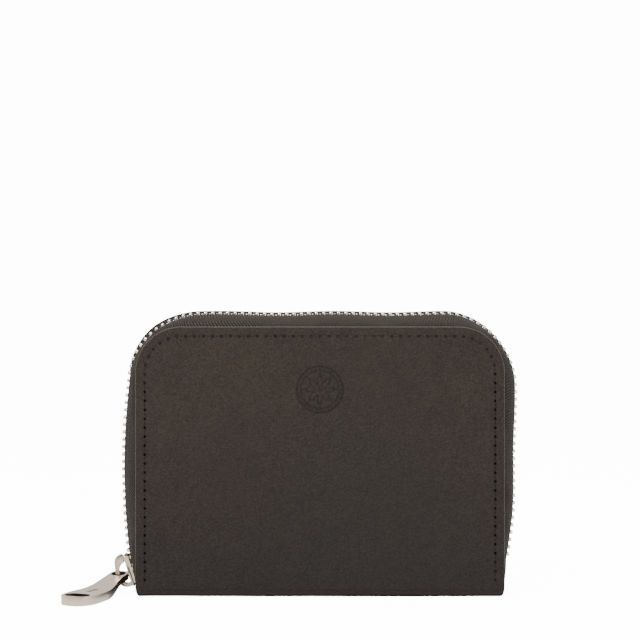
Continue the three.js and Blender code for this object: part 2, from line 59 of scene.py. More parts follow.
# ---- Sizes, in millimetres, taken from the frame where it has them ----
panel_low, panel_high = (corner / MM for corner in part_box("front_panel"))
HALF_WIDTH = panel_high.x
PANEL_TOP = panel_high.z
HALF_DEPTH = -panel_low.y
LEATHER = panel_high.y - panel_low.y
TOP_RADIUS = 16.0
FOLD_RADIUS = 2.3
SPINE_NARROWING = 1.2
EDGE_ROUND = 0.3
SEAM_INSET = 3.35
STITCH_PITCH = 3.1

ZIP_OVERHANG = 4.0
SIDE_OVERHANG = 4.1
RUN_OVERHANG = 4.7
CORNER_RADIUS = 24.7
RUN_RADIUS = 250.0
BEND_TOP = 16.0
LEFT_END = (1.0 - HALF_WIDTH, 2.6)
RIGHT_END = (HALF_WIDTH - 0.2, 4.5)

TOOTH_PITCH = 2.6
TOOTH_WIDTH = 1.1
CLAMP_WIDTH = 1.24
TOOTH_HALF = 1.1
CORD_INNER = 2.2
CORD_OUTER = 3.2


# ======== Shader maths ========
class Wire:
    """One value inside a finish. Arithmetic on it adds Math nodes."""

    def __init__(self, finish, socket):
        self.finish = finish
        self.socket = socket

    def maths(self, operation, *values):
        return self.finish.maths(operation, self, *values)

    def __add__(self, other):
        return self.maths("ADD", other)

    def __radd__(self, other):
        return self.finish.maths("ADD", other, self)

    def __sub__(self, other):
        return self.maths("SUBTRACT", other)

    def __rsub__(self, other):
        return self.finish.maths("SUBTRACT", other, self)

    def __mul__(self, other):
        return self.maths("MULTIPLY", other)

    def __rmul__(self, other):
        return self.finish.maths("MULTIPLY", other, self)

    def __truediv__(self, other):
        return self.maths("DIVIDE", other)

    def __pow__(self, other):
        return self.maths("POWER", other)

    def within(self, low, high):
        """0 below low, 1 above high, smooth between."""
        settings = {"interpolation_type": "SMOOTHSTEP"}
        return self.finish.node("ShaderNodeMapRange", settings, {0: self, 1: low, 2: high})

    def dip(self, centre, width):
        """1 at centre, falling to 0 a width away on both sides."""
        away = (self - centre).maths("ABSOLUTE")
        return 1 - away.within(0.0, width)


class Finish:
    """One procedural material and the nodes that it is made of."""

    def __init__(self, name):
        self.material = bpy.data.materials.new(name)
        self.material.use_nodes = True
        self.tree = self.material.node_tree
        self.surface = self.tree.nodes["Principled BSDF"]
        self.place = self.node("ShaderNodeTexCoord", out="Object")

    def node(self, kind, settings=None, inputs=None, out=0):
        made = self.tree.nodes.new(kind)
        for name, value in (settings or {}).items():
            setattr(made, name, value)
        for key, value in (inputs or {}).items():
            self.feed(made.inputs[key], value)
        return Wire(self, made.outputs[out])

    def feed(self, socket, value):
        if isinstance(value, Wire):
            self.tree.links.new(value.socket, socket)
        else:
            socket.default_value = value

    def maths(self, operation, *values):
        return self.node("ShaderNodeMath", {"operation": operation}, dict(enumerate(values)))

    def parts(self, vector):
        """The three numbers of a vector."""
        split = self.node("ShaderNodeSeparateXYZ", None, {0: vector})
        return [Wire(self, socket) for socket in split.socket.node.outputs]

    def painted(self, name):
        """A number that the piece's mesh carries."""
        return self.node("ShaderNodeAttribute", {"attribute_name": name}, None, "Fac")

    def stretched(self, vector, scale, turn=(0, 0, 0)):
        return self.node("ShaderNodeMapping", None, {"Vector": vector, "Scale": scale, "Rotation": turn})

    def noise(self, scale, detail=3.0, roughness=0.55, at=None, warp=0.0):
        inputs = {
            "Vector": at or self.place,
            "Scale": scale,
            "Detail": detail,
            "Roughness": roughness,
            "Distortion": warp,
        }
        return self.node("ShaderNodeTexNoise", None, inputs, "Fac")

    def cells(self, scale, at=None, feature="F1", randomness=1.0):
        inputs = {"Vector": at or self.place, "Scale": scale, "Randomness": randomness}
        return self.node("ShaderNodeTexVoronoi", {"feature": feature}, inputs, "Distance")

    def mix(self, share, first, second):
        """A colour between two."""
        settings = {"data_type": "RGBA", "clamp_factor": True}
        return self.node("ShaderNodeMix", settings, {0: share, 6: first, 7: second}, 2)

    def shaded(self, colour, amount):
        """A colour made lighter or darker by a number."""
        grey = self.node("ShaderNodeCombineXYZ", None, {0: amount, 1: amount, 2: amount})
        settings = {"data_type": "RGBA", "blend_type": "MULTIPLY"}
        return self.node("ShaderNodeMix", settings, {0: 1.0, 6: colour, 7: grey}, 2)

    def bump(self, height, depth, strength=1.0, over=None):
        inputs = {"Height": height, "Distance": depth, "Strength": strength}
        if over:
            inputs["Normal"] = over
        return self.node("ShaderNodeBump", None, inputs)

    def finish(self, **sockets):
        for name, value in sockets.items():
            self.feed(self.surface.inputs[name.replace("_", " ")], value)
        return self.material


def rgb(red, green, blue):
    """A colour given by its 0 to 255 screen values."""

    def linear(value):
        value = value / 255
        return value / 12.92 if value <= 0.04045 else ((value + 0.055) / 1.055) ** 2.4

    return (linear(red), linear(green), linear(blue), 1.0)


# ======== Finishes ========
def vegetable_leather():
    """Waxed dark brown calf: fine grain, soft clouding, a paler edge that is partly burnished colour and
    partly painted highlight, painted shade along the bottom and a pressed seam line.
    """
    look = Finish("waxed_leather")
    across, _, up = look.parts(look.place)
    rim = look.painted("rim")
    press = look.painted("press")
    facing = look.painted("outside")

    clouds = look.noise(38.0, 4.0, 0.6)
    blots = look.noise(150.0, 3.0, 0.55, warp=0.6)
    fibres = look.noise(1500.0, 3.0, 0.7, at=look.stretched(look.place, (1.0, 1.0, 1.7)))
    hue = look.noise(26.0, 2.0, 0.5, at=look.stretched(look.place, (1.0, 1.0, 1.0), (0.4, 0.9, 0.2)))
    pores = look.cells(1700.0)
    fine_pores = look.cells(3600.0)

    height = (up * 1000).within(0.0, 88.0)
    body = look.mix(height, rgb(27, 21, 19), rgb(34, 26, 18))
    body = look.mix(hue.within(0.38, 0.62) * 0.35, body, rgb(26, 24, 19))
    strands = fibres.within(0.3, 0.7)
    tone = clouds * 0.5 + blots * 0.4 + strands * 1.0 + pores * 0.9 - 0.38
    body = look.shaded(body, tone)
    # Painted shade: the lowest few millimetres, where the hide turns under towards the floor, are darkened to
    # near black.
    painted_base_shade = 1 - (up * 1000).within(0.6, 3.6)
    body = look.mix(painted_base_shade * 0.85, body, rgb(10, 6, 6))
    warm_fold = (up * 1000).dip(1.6, 0.9)
    body = look.mix(warm_fold * 0.3, body, rgb(66, 40, 32))

    # Paler rim: partly the burnished edge's own colour, partly a painted highlight where the rounded edge
    # catches the light, weaker near the bottom.
    lift = (up * 1000).within(4.0, 14.0)
    edge = (1 - rim.within(0.12, 0.36)) * (0.35 + lift * 0.65)
    body = look.mix(edge * 0.75, body, rgb(78, 70, 61))
    seam = rim.dip(SEAM_INSET, 0.75) * (up * 1000).within(4.5, 6.5) * facing
    body = look.shaded(body, 1 - seam * 0.08 - press * 0.5)

    relief = pores * 0.55 + fine_pores * 0.25 + fibres * 0.55 + blots * 0.4
    grain = look.bump(relief, 0.0003, 1.0)
    furrow = look.bump(0 - seam, 0.00012, 0.7, over=grain)
    shine = 0.46 + clouds * 0.14 + pores * 0.1 - edge * 0.06 + press * 0.12
    return look.finish(
        Base_Color=body,
        Roughness=shine,
        Normal=furrow,
        Specular_IOR_Level=0.2,
    )


def inner_leather():
    """Thin lining calf, smoother and a little redder, with painted edges."""
    look = Finish("lining_leather")
    rim = look.painted("rim")
    clouds = look.noise(70.0, 4.0, 0.6)
    pores = look.cells(2300.0)
    wrinkles = look.noise(420.0, 4.0, 0.6, warp=1.2)
    body = look.mix(clouds, rgb(62, 50, 42), rgb(84, 68, 56))
    edge = 1 - rim.within(0.1, 0.35)
    body = look.mix(edge * 0.8, body, rgb(42, 32, 27))
    crease = rim.dip(1.5, 0.35)
    body = look.shaded(body, 0.86 + wrinkles * 0.22 - crease * 0.25)
    grain = look.bump(pores * 0.6 + wrinkles * 0.8, 0.00009, 0.6)
    line = look.bump(0 - crease, 0.00012, 0.8, over=grain)
    shine = 0.46 + clouds * 0.16
    return look.finish(Base_Color=body, Roughness=shine, Normal=line, Specular_IOR_Level=0.4)


def twill(name, dark, light, rib, sheen):
    """Woven cloth: slanting ribs that turn over in bands, crossed by threads. UVs are in millimetres."""
    look = Finish(name)
    along, across, _ = look.parts(look.node("ShaderNodeUVMap"))
    zigzag = (across / (rib * 2.2)).maths("PINGPONG", 1.0) * rib * 2.2
    slant = (along + zigzag) / rib
    rib_wave = (slant * math.tau).maths("SINE")
    thread_wave = (across * (math.tau / (rib * 0.8))).maths("SINE")
    yarn = look.noise(1.6, 3.0, 0.6, at=look.node("ShaderNodeUVMap"))
    slub = look.noise(700.0, 3.0, 0.6)
    weave = rib_wave * 0.5 + thread_wave * 0.12 + yarn * 0.7
    body = look.mix(weave, dark, light)
    body = look.shaded(body, 0.84 + slub * 0.3)
    relief = look.bump(rib_wave * 0.5 + thread_wave * 0.25 + slub * 0.6, rib * 0.00022, 0.8)
    return look.finish(
        Base_Color=body,
        Roughness=0.82 + slub * 0.12,
        Normal=relief,
        Sheen_Weight=sheen,
        Sheen_Roughness=0.5,
        Specular_IOR_Level=0.25,
    )


def cord_yarn():
    """The tape's rope edge: two-ply yarn, its UVs in millimetres along it and turns round it."""
    look = Finish("cord_yarn")
    along, around, _ = look.parts(look.node("ShaderNodeUVMap"))
    ply = ((along / 0.9 + around) * math.tau).maths("SINE")
    fibre = ((along / 0.16 + around * 3) * math.tau).maths("SINE")
    fluff = look.noise(2500.0, 3.0, 0.6)
    body = look.mix(ply * 0.4 + 0.5, rgb(6, 5, 4), rgb(28, 24, 20))
    body = look.shaded(body, 0.8 + fluff * 0.35)
    relief = look.bump(ply * 0.7 + fibre * 0.15 + fluff * 0.3, 0.00015, 0.9)
    return look.finish(Base_Color=body, Roughness=0.8 + fluff * 0.15, Normal=relief)


def nickel(name, body_colour, grime, roughness, brushed):
    """Warm satin nickel: fine polishing lines, small scratches, and painted shade and painted reflection on
    the faces that each piece marks dark: sides, undersides and cuts.
    """
    look = Finish(name)
    clouds = look.noise(260.0, 4.0, 0.6)
    lines = look.noise(600.0, 3.0, 0.6, at=look.stretched(look.place, (1.0, 0.35, 6.0)))
    specks = look.cells(1300.0).within(0.0, 0.16)
    scratches = look.noise(1400.0, 2.0, 0.5, at=look.stretched(look.place, (0.12, 1.0, 1.4), (0.3, 0.2, 0.5)))
    scratch = scratches.dip(0.5, 0.015)
    body = look.mix(clouds, body_colour, grime)
    body = look.shaded(body, 0.93 + specks * 0.07 - scratch * 0.06)
    # Painted shade and painted reflection: the marked faces are mixed towards dark brown, as for shade and
    # the dark purse they mirror.
    painted_shade = look.painted("painted_shade").within(0.6, 1.0)
    body = look.mix(painted_shade * 0.93, body, rgb(56, 46, 38))
    relief = look.bump(lines * brushed + scratch * -0.3 + clouds * 0.3, 0.00003, 0.6)
    shine = roughness + clouds * 0.12 + scratch * 0.08 - specks * 0.02
    return look.finish(Base_Color=body, Metallic=1.0, Roughness=shine, Normal=relief)


def sewing_thread():
    """Waxed thread close to the leather's own colour."""
    look = Finish("waxed_thread")
    across, deep, up = look.parts(look.place)
    twist = ((across + up * 0.7) * (math.tau / 0.00042)).maths("SINE")
    wax = look.noise(1800.0, 2.0, 0.5)
    body = look.mix(twist * 0.2 + wax * 0.6, rgb(20, 16, 13), rgb(31, 24, 19))
    relief = look.bump(twist, 0.00004, 0.5)
    return look.finish(Base_Color=body, Roughness=0.6 + wax * 0.2, Normal=relief, Specular_IOR_Level=0.1)


# Painted shade: a near-black disc that stands for the shade inside a needle hole.
def needle_hole():
    look = Finish("needle_hole")
    depth = look.noise(2200.0, 2.0, 0.5)
    body = look.mix(depth, rgb(4, 3, 3), rgb(12, 9, 8))
    relief = look.bump(depth, 0.00004, 0.6)
    return look.finish(Base_Color=body, Roughness=0.75 + depth * 0.15, Normal=relief, Specular_IOR_Level=0.02)


def grey_board():
    """Pressed fibre board between leather and lining."""
    look = Finish("fibre_board")
    fibres = look.noise(1200.0, 4.0, 0.7, at=look.stretched(look.place, (1.0, 1.0, 3.0)))
    flecks = look.cells(900.0).within(0.05, 0.3)
    body = look.mix(fibres, rgb(118, 110, 98), rgb(168, 160, 146))
    body = look.shaded(body, 0.85 + flecks * 0.15)
    relief = look.bump(fibres + flecks * 0.4, 0.00008, 0.7)
    return look.finish(Base_Color=body, Roughness=0.86 + fibres * 0.1, Normal=relief)


# ======== Mesh helpers ========
def deselect_all():
    bpy.ops.object.select_all(action="DESELECT")
    bpy.context.view_layer.objects.active = None


def make_active(obj):
    deselect_all()
    obj.select_set(True)
    bpy.context.view_layer.objects.active = obj


def apply_modifier(obj, kind, **settings):
    make_active(obj)
    modifier = obj.modifiers.new(kind.lower(), kind)
    for name, value in settings.items():
        setattr(modifier, name, value)
    bpy.ops.object.modifier_apply(modifier=modifier.name)


def smooth_by_angle(obj, degrees=35):
    make_active(obj)
    bpy.ops.object.shade_smooth_by_angle(angle=math.radians(degrees))


def grid_faces(rows, columns, start=0, flipped=False):
    faces = []
    for row in range(rows - 1):
        for column in range(columns - 1):
            corner = start + row * columns + column
            face = (corner, corner + 1, corner + columns + 1, corner + columns)
            faces.append(face[::-1] if flipped else face)
    return faces


def boundary_loop(rows, columns):
    """The grid's outer points, once round."""
    bottom = [column for column in range(columns)]
    right = [row * columns + columns - 1 for row in range(1, rows)]
    top = [(rows - 1) * columns + column for column in range(columns - 2, -1, -1)]
    left = [row * columns for row in range(rows - 2, 0, -1)]
    return bottom + right + top + left


def mesh_piece(name, points, faces, painted=None, uv=None):
    """A new piece from points in millimetres. painted and uv hold a number and a pair for each point."""
    data = bpy.data.meshes.new(name)
    data.from_pydata((np.asarray(points) * MM).tolist(), [], faces)
    if uv is not None:
        layer = data.uv_layers.new(name="UVMap")
        corners = np.zeros(len(data.loops), np.int32)
        data.loops.foreach_get("vertex_index", corners)
        layer.data.foreach_set("uv", np.asarray(uv, np.float32)[corners].ravel())
    obj = bpy.data.objects.new(name, data)
    bpy.context.scene.collection.objects.link(obj)
    for label, values in (painted or {}).items():
        paint(obj, label, values)
    return obj


def paint(obj, label, values, domain="POINT"):
    attribute = obj.data.attributes.new(label, "FLOAT", domain)
    attribute.data.foreach_set("value", np.asarray(values, np.float32).ravel())


def points_of(obj):
    points = np.zeros(len(obj.data.vertices) * 3)
    obj.data.vertices.foreach_get("co", points)
    return points.reshape(-1, 3) / MM


def face_outwards(obj):
    mesh = bmesh.new()
    mesh.from_mesh(obj.data)
    bmesh.ops.recalc_face_normals(mesh, faces=mesh.faces)
    mesh.to_mesh(obj.data)
    mesh.free()


def sandwich(name, outer, inner, rows, columns, painted, uv=None):
    """A closed sheet from its two skins, each a grid of points in rows."""
    count = rows * columns
    faces = grid_faces(rows, columns) + grid_faces(rows, columns, count, True)
    loop = boundary_loop(rows, columns)
    for here, there in zip(loop, loop[1:] + loop[:1]):
        faces.append((here, here + count, there + count, there))
    doubled = {label: np.concatenate([values, values]) for label, values in painted.items()}
    both = None if uv is None else np.concatenate([uv, uv])
    obj = mesh_piece(name, np.concatenate([outer, inner]), faces, doubled, both)
    face_outwards(obj)
    return obj


def spaced(low, high, step, dense_low=(), dense_high=()):
    """Positions from low to high about a step apart, with extra ones near the ends."""
    count = max(2, int(round((high - low) / step)) + 1)
    places = set(np.linspace(low, high, count).round(4))
    places |= {round(low + offset, 4) for offset in dense_low}
    places |= {round(high - offset, 4) for offset in dense_high}
    ordered = sorted(places)
    kept = [ordered[0]]
    for place in ordered[1:]:
        if place - kept[-1] > 0.07:
            kept.append(place)
    return np.array(kept)


RIM_STEPS = (0.1, 0.22, 0.42, 0.7, 1.1, 1.6)


def round_corner(x, z, half_width, end, radius, sign):
    """Bends the square corner of a grid to an arc of the given radius, at the top (sign 1) or bottom (-1)."""
    side = (np.abs(x) - (half_width - radius)) / radius
    rise = sign * (z - (end - sign * radius)) / radius
    inside = (side > 0) & (rise > 0)
    bent_side = side * np.sqrt(np.clip(1 - rise**2 / 2, 0, 1))
    bent_rise = rise * np.sqrt(np.clip(1 - side**2 / 2, 0, 1))
    new_x = np.where(inside, np.sign(x) * (half_width - radius + radius * bent_side), x)
    new_z = np.where(inside, end - sign * radius + sign * radius * bent_rise, z)
    return new_x, new_z


def rim_distance(x, z, half_width, bottom, top, top_radius, bottom_radius):
    """How far a point lies inside a plate with rounded corners."""

    def from_corner(end_distance, radius):
        side = np.abs(x) - (half_width - radius)
        rise = radius - end_distance
        outside = np.hypot(np.maximum(side, 0), np.maximum(rise, 0))
        return radius - outside - np.minimum(np.maximum(side, rise), 0)

    return np.minimum(from_corner(top - z, top_radius), from_corner(z - bottom, bottom_radius))


def edge_drop(distance, radius):
    """How far a rounded edge falls away, at a distance from the rim."""
    near = radius - np.clip(distance, 0, radius)
    return radius - np.sqrt(np.maximum(radius**2 - near**2, 0))


def ripple(x, z, size, seed):
    """Slow, seeded unevenness between -1 and 1."""
    values = [noise.noise(Vector((a / size, seed * 7.31, b / size))) for a, b in zip(x.ravel(), z.ravel())]
    return np.array(values).reshape(x.shape)


# ======== The pressed ornament: a double ring, a rosette of eight petals round a dot, eight rays and a ring of beads ===
ORNAMENT_Z = 71.8
ORNAMENT_REACH = 9.2


def stroke(distance, width):
    return np.exp(-((distance / width) ** 2))


def ornament(x, z):
    """How deeply the leather is pressed, from 0 to 1."""
    dx, dz = x, z - ORNAMENT_Z
    radius = np.hypot(dx, dz)
    angle = np.arctan2(dz, dx)
    rings = stroke(radius - 8.0, 0.3) + stroke(radius - 6.6, 0.2)
    petal = 1.1 + 3.7 * np.abs(np.cos(4 * angle)) ** 0.7
    petals = stroke((radius - petal) * 0.7, 0.28) + stroke(radius, 0.55)
    rays = stroke(np.sin(4 * angle) * radius / 4, 0.22) * (radius > 4.6) * (radius < 6.3)
    beads = stroke(np.abs(np.sin(16 * angle)) * radius / 16, 0.24) * stroke(radius - 7.3, 0.26)
    pattern = np.maximum.reduce([rings, petals, rays * 0.8, beads])
    return np.clip(pattern, 0, 1) * (radius < ORNAMENT_REACH)


# ======== Cover: one hide folded round the purse ========
def cover_rows():
    """The folded profile from the back panel's top edge to the front's: outer, inner and flat part."""
    rows = []
    inner = FOLD_RADIUS - LEATHER
    back_z = spaced(FOLD_RADIUS, PANEL_TOP, 1.8, dense_high=RIM_STEPS)[::-1]
    for z in back_z:
        rows.append((HALF_DEPTH, z, HALF_DEPTH - LEATHER, z))
    for side in (1, -1):
        centre = side * (HALF_DEPTH - FOLD_RADIUS)
        turns = np.linspace(0, math.pi / 2, 9)[1:]
        if side < 0:
            turns = turns[::-1]
        for turn in turns:
            out = (centre + side * FOLD_RADIUS * math.cos(turn), FOLD_RADIUS * (1 - math.sin(turn)))
            deep = (centre + side * inner * math.cos(turn), FOLD_RADIUS - inner * math.sin(turn))
            rows.append((out[0], out[1], deep[0], deep[1]))
        if side > 0:
            flat = np.linspace(centre, -centre, 12)[1:-1]
            rows += [(y, 0.0, y, LEATHER) for y in flat]
    low_z = spaced(FOLD_RADIUS, ORNAMENT_Z - ORNAMENT_REACH, 1.6)
    mark_z = np.arange(ORNAMENT_Z - ORNAMENT_REACH + 0.3, ORNAMENT_Z + ORNAMENT_REACH, 0.3)
    high_z = spaced(ORNAMENT_Z + ORNAMENT_REACH, PANEL_TOP, 1.4, dense_high=RIM_STEPS)
    for z in np.concatenate([low_z, mark_z, high_z]):
        rows.append((-HALF_DEPTH, z, -HALF_DEPTH + LEATHER, z))
    return np.array(rows)


def cover_columns():
    side = spaced(ORNAMENT_REACH, HALF_WIDTH, 1.6, dense_high=RIM_STEPS)
    mark = np.arange(-ORNAMENT_REACH + 0.3, ORNAMENT_REACH - 0.1, 0.3)
    return np.concatenate([-side[::-1], mark, side])


def make_cover():
    rows = cover_rows()
    columns = cover_columns()
    count, width = len(rows), len(columns)
    out_y = np.repeat(rows[:, 0:1], width, 1)
    out_z = np.repeat(rows[:, 1:2], width, 1)
    in_y = np.repeat(rows[:, 2:3], width, 1)
    in_z = np.repeat(rows[:, 3:4], width, 1)
    x = np.repeat(columns[None, :], count, 0)

    fold = np.clip((4.2 - out_z) / 4.2, 0, 1)
    narrowing = SPINE_NARROWING * (1 - np.sqrt(1 - fold**2 * 0.999))
    half = HALF_WIDTH - narrowing
    x = x * half / HALF_WIDTH
    standing = out_z > PANEL_TOP - TOP_RADIUS
    bent_x, bent_z = round_corner(x, out_z, HALF_WIDTH, PANEL_TOP, TOP_RADIUS, 1)
    x = np.where(standing, bent_x, x)
    out_z = np.where(standing, bent_z, out_z)
    in_z = np.where(standing, bent_z, in_z)

    top_distance = rim_distance(x, out_z, HALF_WIDTH, -50, PANEL_TOP, TOP_RADIUS, 1.0)
    rim = np.minimum(top_distance, half - np.abs(x))
    drop = edge_drop(rim, EDGE_ROUND)
    front = out_y < 0
    press = np.where(front & (out_y < -HALF_DEPTH + 0.01), ornament(x, out_z), 0.0)

    # Each skin moves along its own normal: inwards at the rim, where pressed and where the hide is uneven.
    normal_y = out_y - in_y
    normal_z = out_z - in_z
    length = np.maximum(np.hypot(normal_y, normal_z), 1e-6)
    normal_y, normal_z = normal_y / length, normal_z / length
    calm = np.clip(rim / 6, 0, 1)
    swell = 0.16 * ripple(x, out_z + np.where(front, 0, 300), 34, 1) * calm
    swell += 0.045 * ripple(x, out_z + np.where(front, 0, 300), 7, 2) * calm
    furrow = 0.07 * np.exp(-(((rim - SEAM_INSET) / 0.8) ** 2)) * np.clip((out_z - 3) / 4, 0, 1)
    depth = drop + 0.28 * press + furrow - swell
    outer = np.stack([x, out_y - normal_y * depth, out_z - normal_z * depth], -1)
    inner = np.stack([x, in_y + normal_y * drop * 0.6, in_z + normal_z * drop * 0.6], -1)

    painted = {
        "rim": rim.ravel(),
        "press": press.ravel(),
        "outside": np.ones(rim.size),
    }
    return sandwich("cover", outer.reshape(-1, 3), inner.reshape(-1, 3), count, width, painted)


# ======== Flat leaves: linings, card slots and pocket walls ========
def make_leaf(name, node, top_radius, bottom_radius, step, sag=0.0, uneven=0.06, round_edge=0.18):
    """A thin sheet in a node's place, with rounded corners, soft edges and a top edge that may dip."""
    low, high = (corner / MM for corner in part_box(node))
    half_width = high.x
    thickness = high.y - low.y
    middle_y = (high.y + low.y) / 2
    columns = spaced(-half_width, half_width, step, RIM_STEPS, RIM_STEPS)
    heights = spaced(low.z, high.z, step, RIM_STEPS[:4], RIM_STEPS)
    x, z = np.meshgrid(columns, heights)
    x, z = round_corner(x, z, half_width, high.z, top_radius, 1)
    x, z = round_corner(x, z, half_width, low.z, bottom_radius, -1)
    rim = rim_distance(x, z, half_width, low.z, high.z, top_radius, bottom_radius)
    share = (z - low.z) / (high.z - low.z)
    dipped = z - sag * np.clip(share, 0, 1) ** 4 * np.cos(np.clip(x / half_width, -1, 1) * math.pi / 2)
    seed = sum(ord(letter) for letter in name)
    wave = uneven * ripple(x, z, 22, seed) * np.clip(rim / 8, 0, 1)
    drop = np.minimum(edge_drop(rim, round_edge), thickness * 0.42)
    near = np.stack([x, middle_y - thickness / 2 + drop + wave, dipped], -1)
    far = np.stack([x, middle_y + thickness / 2 - drop + wave, dipped], -1)
    uv = np.stack([x.ravel(), z.ravel()], -1)
    painted = {"rim": rim.ravel()}
    return sandwich(name, near.reshape(-1, 3), far.reshape(-1, 3), len(heights), len(columns), painted, uv)


def make_floor_leaf(name, node, uneven=0.05):
    """The same for a sheet that lies flat."""
    low, high = (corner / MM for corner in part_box(node))
    columns = spaced(low.x, high.x, 1.6, RIM_STEPS[:3], RIM_STEPS[:3])
    depths = spaced(low.y, high.y, 1.2, RIM_STEPS[:3], RIM_STEPS[:3])
    x, y = np.meshgrid(columns, depths)
    rim = np.minimum(high.x - np.abs(x), high.y - np.abs(y))
    thickness = high.z - low.z
    drop = np.minimum(edge_drop(rim, 0.2), thickness * 0.42)
    wave = uneven * ripple(x, y, 14, len(name)) * np.clip(rim / 4, 0, 1)
    lower = np.stack([x, y, low.z + drop + np.maximum(wave, 0)], -1)
    upper = np.stack([x, y, high.z - drop + wave * 0.4], -1)
    uv = np.stack([x.ravel(), y.ravel()], -1)
    painted = {"rim": rim.ravel()}
    return sandwich(name, upper.reshape(-1, 3), lower.reshape(-1, 3), len(depths), len(columns), painted, uv)


# ======== Folded strips: gussets and the coin pocket's sides ========
def rounded_route(corners, radius, arc_steps=6, line_step=1.2):
    """A polyline in plan with its inner corners turned to arcs."""
    points = [np.array(corners[0], float)]
    for before, corner, after in zip(corners, corners[1:], corners[2:]):
        corner = np.array(corner, float)
        back = np.array(before) - corner
        ahead = np.array(after) - corner
        back_unit = back / np.linalg.norm(back)
        ahead_unit = ahead / np.linalg.norm(ahead)
        half_angle = math.acos(np.clip(back_unit @ ahead_unit, -1, 1)) / 2
        run = min(radius / math.tan(half_angle), 0.45 * min(np.linalg.norm(back), np.linalg.norm(ahead)))
        start = corner + back_unit * run
        end = corner + ahead_unit * run
        for share in np.linspace(0, 1, arc_steps):
            points.append((1 - share) ** 2 * start + 2 * share * (1 - share) * corner + share**2 * end)
    points.append(np.array(corners[-1], float))
    route = [points[0]]
    for point in points[1:]:
        gap = np.linalg.norm(point - route[-1])
        if gap < 1e-6:
            continue
        cuts = max(1, int(gap / line_step))
        last = route[-1]
        route += [last + (point - last) * share for share in np.linspace(0, 1, cuts + 1)[1:]]
    return np.array(route)


def make_folded_strip(name, corners, radius, thickness, bottom, top, dip, inward):
    """A standing strip folded in plan. Its top edge dips where it turns inwards."""
    route = rounded_route(corners, radius)
    ahead = np.gradient(route, axis=0)
    ahead /= np.linalg.norm(ahead, axis=1)[:, None]
    side = np.stack([-ahead[:, 1], ahead[:, 0]], -1)
    heights = spaced(0, 1, 0.03, (0.01,), (0.008, 0.02))
    lean = np.abs(route[:, 0] - corners[0][0]) / inward
    x = np.repeat(route[None, :, 0], len(heights), 0)
    y = np.repeat(route[None, :, 1], len(heights), 0)
    local_top = top - dip * lean**1.5
    z = bottom + heights[:, None] * (local_top - bottom)[None, :]
    distance = np.minimum(local_top[None, :] - z, z - bottom)
    half = thickness / 2 - np.minimum(edge_drop(distance, 0.2), thickness * 0.4)
    seed = len(name)
    belly = 0.18 * ripple(x * 2, z, 16, seed) * np.sin(np.clip(heights, 0, 1) * math.pi)[:, None]
    ends = np.minimum(np.arange(len(route)), np.arange(len(route))[::-1]) / 4
    belly = belly * np.clip(ends, 0, 1)[None, :]
    left = np.stack([x + side[:, 0] * (belly + half), y + side[:, 1] * (belly + half), z], -1)
    right = np.stack([x + side[:, 0] * (belly - half), y + side[:, 1] * (belly - half), z], -1)
    steps = np.concatenate([[0], np.cumsum(np.linalg.norm(np.diff(route, axis=0), axis=1))])
    uv = np.stack([np.tile(steps, len(heights)), z.ravel()], -1)
    painted = {"rim": distance.ravel()}
    return sandwich(name, left.reshape(-1, 3), right.reshape(-1, 3), len(heights), len(route), painted, uv)


# ======== The zip's path ========
def arc_points(centre, radius, start, end, count=240):
    angles = np.linspace(start, end, count)
    return np.stack([centre[0] + radius * np.cos(angles), centre[1] + radius * np.sin(angles)], -1)


def line_points(start, end, count=240):
    share = np.linspace(0, 1, count)[:, None]
    return np.array(start) * (1 - share) + np.array(end) * share


def bezier_points(controls, count=240):
    level = [np.array(point, float)[None, :] for point in controls]
    share = np.linspace(0, 1, count)[:, None]
    while len(level) > 1:
        level = [a * (1 - share) + b * share for a, b in zip(level, level[1:])]
    return level[0]


def evenly(points, count=240):
    """The same line with its points an equal way apart, and its length."""
    lengths = np.concatenate([[0], np.cumsum(np.linalg.norm(np.diff(points, axis=0), axis=1))])
    places = np.linspace(0, lengths[-1], count)
    even = np.stack([np.interp(places, lengths, points[:, axis]) for axis in (0, 1)], -1)
    return even, lengths[-1]


def joint_range(name):
    """A joint's lowest and highest angle, in degrees."""
    joints = frame["record"]["behaviour"]["joints"]
    return next(joint["range_deg"] for joint in joints if joint["name"] == name)


